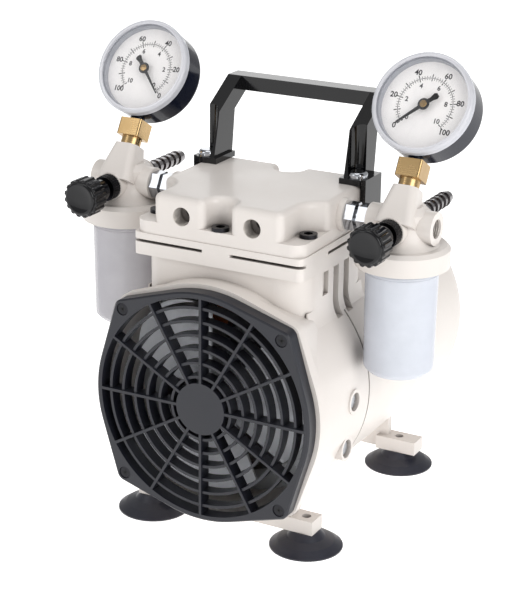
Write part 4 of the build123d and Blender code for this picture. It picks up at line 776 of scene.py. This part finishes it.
@dataclass
class GaugePrint:
    """What is printed on and fixed over one gauge's dial plate.

    Attributes:
        side: Which gauge.
        ink_mm: Thickness of the print.
        divisions: Small divisions on each scale.
        labels: Numbered divisions on each scale.
        short_tick_mm: Width of a short tick.
        long_tick_mm: Width of a long tick.
        arc_radius: Radius of the line between the scales as a share of the dial's.
        arc_mm: Width of that line.
        arc_chords: Short chords that make that line.
        chord_overlap: Length of a chord as a share of its step.
        ring_radii: Inner and outer radius of the surround as shares of the dial's.
        ring_mm: Height of the surround.
        ring_bevel_mm: Bevel on the surround's inner edge.
        normal: Direction that the dial faces.
        centre: Middle of the pointer's pin.
        radius: Radius of the dial plate in metres.
        face: Height of the plate's face over the pin's middle, in metres.
        place: Placing of the print on the plate.
        start: Pointer's angle at rest in radians.
        sweep: Turn from the first number to the last in radians.
    """

    frame: dict
    side: Side
    ink_mm: float = 0.06
    divisions: int = 50
    labels: int = 5
    short_tick_mm: float = 0.32
    long_tick_mm: float = 0.62
    arc_radius: float = 0.59
    arc_mm: float = 0.36
    arc_chords: int = 120
    chord_overlap: float = 1.02
    ring_radii: tuple[float, float] = (0.94, 0.995)
    ring_mm: float = 4.2
    ring_bevel_mm: float = 0.6
    normal: Vector = field(init=False)
    centre: Vector = field(init=False)
    radius: float = field(init=False)
    face: float = field(init=False)
    place: Matrix = field(init=False)
    start: float = field(init=False)
    sweep: float = field(init=False)

    def build(self) -> None:
        """Makes the scales, the numbers, the surround and the pointer's hub."""
        name = self.side.value
        joint = joint_of(self.frame, f"{name}_pointer_turn")
        turn_axis = Vector(joint["axis"])
        self.normal = turn_axis if self.side is Side.LEFT else -turn_axis
        self.centre = Vector(joint["pos_m"])
        self.radius, self.face = self._plate(f"{name}_gauge_dial")
        self.place = facing(self.centre + self.normal * (self.face + self.ink_mm * MM / 2), self.normal,
                            Vector((1, 0, 0)))
        self.start = self._zero(f"{name}_gauge_pointer")
        turn = math.radians(joint["range_deg"][1])
        self.sweep = turn if self.side is Side.LEFT else -turn
        self._scale(OUTER_SCALE)
        self._scale(INNER_SCALE)
        self._arc()
        self._numbers(OUTER_SCALE)
        self._numbers(INNER_SCALE)
        self._surround()
        self._blade()
        self._hub()

    def _plate(self, node: str) -> tuple[float, float]:
        """Measures the dial plate.

        Args:
            node: Its CAD node.

        Returns:
            Its radius and the height of its face over the pointer's centre, in metres.
        """
        offsets = [v.co - self.centre for v in self.frame["nodes"][node].data.vertices]
        heights = [o.dot(self.normal) for o in offsets]
        return max((o - self.normal * h).length for o, h in zip(offsets, heights)), max(heights)

    def _zero(self, node: str) -> float:
        """Finds the pointer's angle at rest.

        Args:
            node: Its CAD node.

        Returns:
            The angle of its tip in radians.
        """
        far = max((v.co - self.centre for v in self.frame["nodes"][node].data.vertices),
                  key=lambda o: o.length)
        up = self.normal.cross(Vector((1, 0, 0)))
        return math.atan2(far.dot(up), far.x)

    def _scale(self, row: ScaleRow) -> None:
        """Makes one scale's ticks: short ones, and long ones at and between the numbers.

        Args:
            row: The scale.
        """
        kinds = {"short": (self.divisions, row.short, self.short_tick_mm),
                 "long": (2 * self.labels, row.long, self.long_tick_mm)}
        for kind, (count, length, width_mm) in kinds.items():
            sizes = {"Count": count + 1, "Start": self.start, "Step": self.sweep / count,
                     "Radius": self.radius * (row.radius + length / 2),
                     "Length": self.radius * abs(length),
                     "Width": width_mm * MM, "Height": self.ink_mm * MM}
            self._print(f"{row.name}_scale_{kind}", grown(turned_copies(), sizes, DIAL_INK))

    def _arc(self) -> None:
        """Makes the fine line between the two scales, as short chords."""
        step = self.sweep / self.arc_chords
        sizes = {"Count": self.arc_chords, "Start": self.start + step / 2, "Step": step,
                 "Radius": self.radius * self.arc_radius, "Length": self.arc_mm * MM,
                 "Width": abs(step) * self.radius * self.arc_radius * self.chord_overlap,
                 "Height": self.ink_mm * MM}
        self._print("scale_arcs", grown(turned_copies(), sizes, DIAL_INK))

    def _numbers(self, row: ScaleRow) -> None:
        """Makes the numbers of one scale.

        Args:
            row: The scale.
        """
        work = bmesh.new()
        for i in range(self.labels + 1):
            angle = self.start + self.sweep * i / self.labels
            middle = Vector((math.cos(angle), math.sin(angle), 0)) * self.radius * row.number_radius
            words = bpy.data.curves.new("digits", "FONT")
            words.body = str(row.step * i)
            words.size = self.radius * row.digit * TYPE_PER_DIGIT
            words.align_x, words.align_y = "CENTER", "CENTER"
            words.extrude = self.ink_mm * MM / 2
            words.offset = self.radius * row.digit * STROKE_PER_DIGIT
            words.resolution_u = 3
            holder = bpy.data.objects.new("digits", words)
            bpy.context.collection.objects.link(holder)
            bpy.context.view_layer.update()
            shape = holder.evaluated_get(bpy.context.evaluated_depsgraph_get())
            mesh = bpy.data.meshes.new_from_object(shape)
            mesh.transform(Matrix.Translation(middle))
            work.from_mesh(mesh)
            bpy.data.objects.remove(holder)
            bpy.data.meshes.remove(mesh)
        digits = bpy.data.meshes.new("digits")
        work.to_mesh(digits)
        work.free()
        self._print(f"{row.name}_numbers", digits)

    def _print(self, name: str, mesh: bpy.types.Mesh) -> None:
        """Puts one printed layer on the dial plate."""
        settle(f"{self.side.value}_{name}", mesh, self.place, DIAL_INK, "base")

    def _surround(self) -> None:
        """Makes the light ring that holds the plate under the lens."""
        inner, outer = (self.radius / MM * share for share in self.ring_radii)
        top, bevel = self.ring_mm, self.ring_bevel_mm
        ring = turned([(inner, 0.0), (outer, 0.0), (outer, top), (inner + bevel, top), (inner, bevel)],
                      closed=True)
        settle(f"{self.side.value}_dial_surround", ring, self.place, GREY_ACETAL, "base")

    def _blade(self) -> None:
        """Makes the pointer's stamped blade: a fine tip, a broad root and a paddle of a tail."""
        points = BLADE_OUTLINE + [(x, -y) for x, y in reversed(BLADE_OUTLINE)]
        work = bmesh.new()
        under = [work.verts.new((x * MM, y * MM, 0)) for x, y in points]
        over = [work.verts.new((x * MM, y * MM, BLADE_MM * MM)) for x, y in points]
        work.faces.new(list(reversed(under)))
        work.faces.new(over)
        for i, corner in enumerate(under):
            after = (i + 1) % len(points)
            work.faces.new((corner, under[after], over[after], over[i]))
        blade = bpy.data.meshes.new("blade")
        work.to_mesh(blade)
        work.free()
        aim = self._over_pointer() @ Matrix.Rotation(self.start, 4, "Z")
        pointer = f"{self.side.value}_pointer"
        settle(f"{pointer}_blade", blade, aim, BLACK_LACQUER, pointer)

    def _over_pointer(self) -> Matrix:
        """Gives the placing on the face of the pointer's own solid."""
        solid = self.frame["nodes"][f"{self.side.value}_gauge_pointer"]
        face = max((v.co - self.centre).dot(self.normal) for v in solid.data.vertices)
        return facing(self.centre + self.normal * face, self.normal, Vector((1, 0, 0)))

    def _hub(self) -> None:
        """Makes the disc and the turned hub that the pointer is pressed on."""
        place, pointer = self._over_pointer(), f"{self.side.value}_pointer"
        disc = turned(DISC_PROFILE, SMALL_TURNED_SIDES)
        settle(f"{pointer}_disc", disc, place, BLACK_LACQUER, pointer)
        hub = turned(HUB_PROFILE, SMALL_TURNED_SIDES)
        settle(f"{pointer}_hub", hub, place, TURNED_BRASS, pointer)


@dataclass(frozen=True)
class PortThread:
    """The thread of an open pipe port, as rings along its wall.

    Attributes:
        radius_mm: Radius of the port.
        pitch_mm: From one crest to the next.
        crest_mm: Half the thickness of a crest.
    """

    radius_mm: float = 6.4
    pitch_mm: float = 1.4
    crest_mm: float = 0.45

    def build(self, name: str, crests: int, first: Vector, inward: Vector, sideways: Vector) -> None:
        """Makes the crests.

        Args:
            name: First words of the piece name.
            crests: How many there are.
            first: Middle of the first one in metres.
            inward: Direction in which the port runs.
            sideways: A direction square to inward.
        """
        sizes = {"Count": crests, "Pitch": self.pitch_mm * MM, "Radius": self.radius_mm * MM,
                 "Section": self.crest_mm * MM}
        settle(f"{name}_port_thread", grown(stacked_rings(), sizes, TAPPED_ALUMINIUM),
               facing(first, inward, sideways), TAPPED_ALUMINIUM, "base")


@dataclass
class Regulator:
    """Threads, knurls and moulded lines of one regulator with its trap jar.

    Attributes:
        side: Which regulator.
        reach_mm: From the trap's axis to the mouth of its open port.
        first_crest_mm: From that mouth to the first crest of its thread.
        crests: Crests of its thread.
        knurls: Ribs round the lock ring.
        knurl_mm: Height and width of a rib.
        knurl_share: Length of a rib as a share of the ring's.
        jar_lines: Moulded lines round the jar under its lid.
        line_pitch_mm: From one line to the next.
        line_mm: Half the thickness of a line.
        first_line_mm: From the lid down to the first line.
        axis_point: A point on the knob's axis.
    """

    frame: dict
    side: Side
    reach_mm: float = 23.0
    first_crest_mm: float = 1.5
    crests: int = 6
    knurls: int = 30
    knurl_mm: tuple[float, float] = (0.7, 0.8)
    knurl_share: float = 0.8
    jar_lines: int = 3
    line_pitch_mm: float = 1.7
    line_mm: float = 0.3
    first_line_mm: float = 1.4
    axis_point: Vector = field(init=False)

    def build(self) -> None:
        """Makes the port's thread, the knob's dish, the lock ring's knurls and the jar's lines."""
        self.axis_point = Vector(joint_of(self.frame, f"{self.side.value}_knob_turn")["pos_m"])
        self._port_thread()
        self._knob_dish()
        self._knurls()
        self._jar_lines()

    def _port_thread(self) -> None:
        """Makes the thread crests inside the open port."""
        outward = self.side.outward
        first = self.axis_point + outward * (self.reach_mm - self.first_crest_mm) * MM
        PortThread().build(self.side.value, self.crests, first, -outward, Vector((0, 0, 1)))

    def _knob_dish(self) -> None:
        """Makes the knob's polished face: a raised lip round a shallow dish."""
        low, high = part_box(f"{self.side.value}_knob")
        front = Vector(((low[0] + high[0]) / 2, low[1], (low[2] + high[2]) / 2))
        place = facing(front, Vector((0, -1, 0)), Vector((1, 0, 0)))
        piece = settle(f"{self.side.value}_knob_dish", turned(DISH_PROFILE), place, GLOSS_PHENOLIC,
                       f"{self.side.value}_knob")
        piece.data.polygons.foreach_set("use_smooth", [True] * len(piece.data.polygons))

    def _knurls(self) -> None:
        """Makes the ribs round the lock ring behind the knob."""
        low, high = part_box(f"{self.side.value}_valve_bush")
        middle = (Vector(low) + Vector(high)) / 2
        radius = (high[0] - low[0]) / 2
        height_mm, width_mm = self.knurl_mm
        sizes = {"Count": self.knurls, "Start": 0.0, "Step": 2 * math.pi / self.knurls, "Radius": radius,
                 "Length": height_mm * MM, "Width": width_mm * MM,
                 "Height": (high[1] - low[1]) * self.knurl_share}
        place = facing(middle, Vector((0, -1, 0)), Vector((1, 0, 0)))
        settle(f"{self.side.value}_lock_ring_knurls", grown(turned_copies(), sizes, BLACK_ANODISED), place,
               BLACK_ANODISED, "base")

    def _jar_lines(self) -> None:
        """Makes the moulded lines round the jar, just under the lid."""
        low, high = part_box(f"{self.side.value}_jar")
        lid_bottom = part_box(f"{self.side.value}_trap_body")[0][2]
        radius = (high[0] - low[0]) / 2
        sizes = {"Count": self.jar_lines, "Pitch": -self.line_pitch_mm * MM, "Radius": radius,
                 "Section": self.line_mm * MM}
        first = lid_bottom - self.first_line_mm * MM
        centre = Vector(((low[0] + high[0]) / 2, (low[1] + high[1]) / 2, first))
        place = facing(centre, Vector((0, 0, 1)), Vector((1, 0, 0)))
        jar = f"{self.side.value}_jar"
        finish = FINISH_OF_NODE.get(jar, JAR_POLYCARBONATE)
        settle(f"{jar}_lines", grown(stacked_rings(), sizes, finish), place, finish, jar)


@dataclass
class PumpHead:
    """Threads in the two open ports of the head cover.

    Attributes:
        port_x_mm: From the middle plane to a port's axis.
        first_crest_mm: From the cover's front to the first crest of a thread.
        crests: Crests of each thread.
    """

    frame: dict
    port_x_mm: float = 26.0
    first_crest_mm: float = 1.6
    crests: int = 7

    def build(self) -> None:
        """Makes both threads."""
        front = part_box("head_cover")[0][1]
        level = joint_of(self.frame, "left_knob_turn")["pos_m"][2]
        for side in Side:
            first = Vector((side.outward.x * self.port_x_mm * MM, front + self.first_crest_mm * MM, level))
            PortThread().build(f"head_{side.value}", self.crests, first, Vector((0, 1, 0)),
                               Vector((1, 0, 0)))


@dataclass
class GuardScrews:
    """Painted shade in the cross recesses of the four screws that hold the fan guard, as flat near-black
    crosses.

    Attributes:
        head_r_mm: Radius of a screw's head.
        span_mm: Length of a recess's arm.
        slot_mm: Width of a recess's arm.
        sunk_mm: How far a recess's painted shade stands in front of the head.
    """

    frame: dict
    head_r_mm: float = 3.9
    span_mm: float = 4.6
    slot_mm: float = 1.1
    sunk_mm: float = 0.08

    def build(self) -> None:
        """Makes the painted shade of the four recesses."""
        low, high = (Vector(corner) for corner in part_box("guard_screws"))
        inset = self.head_r_mm * MM
        sizes = {"Across": high.x - low.x - 2 * inset, "Up": high.z - low.z - 2 * inset,
                 "Span": self.span_mm * MM, "Slot": self.slot_mm * MM, "Depth": self.sunk_mm * MM}
        centre = Vector(((low.x + high.x) / 2, low.y - self.sunk_mm * MM / 2, (low.z + high.z) / 2))
        place = facing(centre, Vector((0, -1, 0)), Vector((1, 0, 0)))
        # Painted shade: a near-black cross on each head where the recess's shadow falls.
        settle("guard_screw_recess_shade", grown(cross_marks(), sizes, PAINTED_RECESS_SHADE), place, PAINTED_RECESS_SHADE,
               "base")


# ---------------------------------------------------------------- studio

@dataclass(frozen=True)
class Softbox:
    """One square soft light.

    Attributes:
        name: Light's name.
        place: Place in metres.
        size: Side of the square in metres.
        power: Power in watts.
    """

    name: str
    place: tuple[float, float, float]
    size: float
    power: float

    def build(self, target: Vector) -> None:
        """Makes the light.

        Args:
            target: Point that it faces, in metres.
        """
        data = bpy.data.lights.new(self.name, "AREA")
        data.size = self.size
        data.energy = self.power
        lamp = bpy.data.objects.new(self.name, data)
        lamp.location = self.place
        aim = target - Vector(self.place)
        lamp.rotation_euler = aim.to_track_quat("-Z", "Y").to_euler()
        bpy.context.collection.objects.link(lamp)


SOFTBOXES = (
    Softbox("key_softbox", (1.3, -0.6, 0.8), 0.9, 9.5),
    Softbox("fill_softbox", (-0.75, -1.1, 0.95), 0.6, 2.2),
    Softbox("top_softbox", (-0.1, -0.1, 1.6), 0.8, 3.6),
    Softbox("rim_softbox", (-0.55, 1.15, 0.66), 0.7, 1.7),
)


@dataclass
class Studio:
    """Pale floor, soft lights and the camera.

    Attributes:
        eye: Camera place in millimetres.
        turn_deg: Camera pitch from straight down, roll and heading.
        lens_mm: Focal length.
        sensor_mm: Width of the sensor.
        lit_point: Point that the lights face, in metres.
        sky: sRGB colour of the sky.
        sky_strength: Strength of the sky's light.
        table_glow: Strength of the light that comes up through the floor.
        table_half_m: Half the side of the floor in metres.
    """

    eye: tuple[float, float, float] = (535.28, -1065.46, 554.95)
    turn_deg: tuple[float, float, float] = (70.42, 0.70, 28.02)
    lens_mm: float = 121.07
    sensor_mm: float = 36.0
    lit_point: tuple[float, float, float] = (0, 0, 0.15)
    sky: str = "FFFFFF"
    sky_strength: float = 0.5
    table_glow: float = 0.7
    table_half_m: float = 25.0

    def build(self) -> None:
        """Makes the floor, the lights, the sky and the camera."""
        self._floor()
        for softbox in SOFTBOXES:
            softbox.build(Vector(self.lit_point))
        world = bpy.data.worlds.new("studio_sky")
        bpy.context.scene.world = world
        world.use_nodes = True
        background = world.node_tree.nodes["Background"]
        background.inputs["Color"].default_value = linear(self.sky)
        background.inputs["Strength"].default_value = self.sky_strength
        bpy.context.scene.view_settings.view_transform = "Standard"
        self._camera()

    def _floor(self) -> None:
        """Makes the pale floor."""
        mesh = bpy.data.meshes.new("studio_floor")
        wide = self.table_half_m
        mesh.from_pydata([(-wide, -wide, 0), (wide, -wide, 0), (wide, wide, 0), (-wide, wide, 0)], [],
                         [(0, 1, 2, 3)])
        floor = bpy.data.objects.new("studio_floor", mesh)
        bpy.context.collection.objects.link(floor)
        mesh.materials.append(self._paper())

    def _paper(self) -> bpy.types.Material:
        """Makes the floor's material: white fibrous paper on a table that is lit from below."""
        paper = Finish("lit_studio_paper", "FBFBFB", "F7F7F7", (0.8, 0.9), grain=Grain.CAST, grain_mm=2.0,
                       relief_mm=0.01, patch_mm=300).build()
        shader = next(n for n in paper.node_tree.nodes if n.type == "BSDF_PRINCIPLED")
        shader.inputs["Emission Color"].default_value = linear("FFFFFF")
        shader.inputs["Emission Strength"].default_value = self.table_glow
        return paper

    def _camera(self) -> None:
        """Makes the camera and makes it the scene's own."""
        data = bpy.data.cameras.new("studio_camera")
        data.sensor_fit = "HORIZONTAL"
        data.sensor_width = self.sensor_mm
        data.lens = self.lens_mm
        camera = bpy.data.objects.new("studio_camera", data)
        pitch, roll, heading = (math.radians(a) for a in self.turn_deg)
        look = Euler((pitch, 0, heading)).to_matrix() @ Matrix.Rotation(roll, 3, "Z")
        camera.matrix_world = Matrix.Translation(Vector(self.eye) * MM) @ look.to_4x4()
        bpy.context.collection.objects.link(camera)
        bpy.context.scene.camera = camera


def main() -> None:
    """Loads the frame, dresses it and sets the studio."""
    logging.basicConfig(level=logging.INFO, format="%(name)s %(message)s")
    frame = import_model()
    PumpSolids(frame).dress()
    for side in Side:
        GaugePrint(frame, side).build()
        Regulator(frame, side).build()
    PumpHead(frame).build()
    GuardScrews(frame).build()
    Studio().build()


if __name__ == "__main__":
    main()
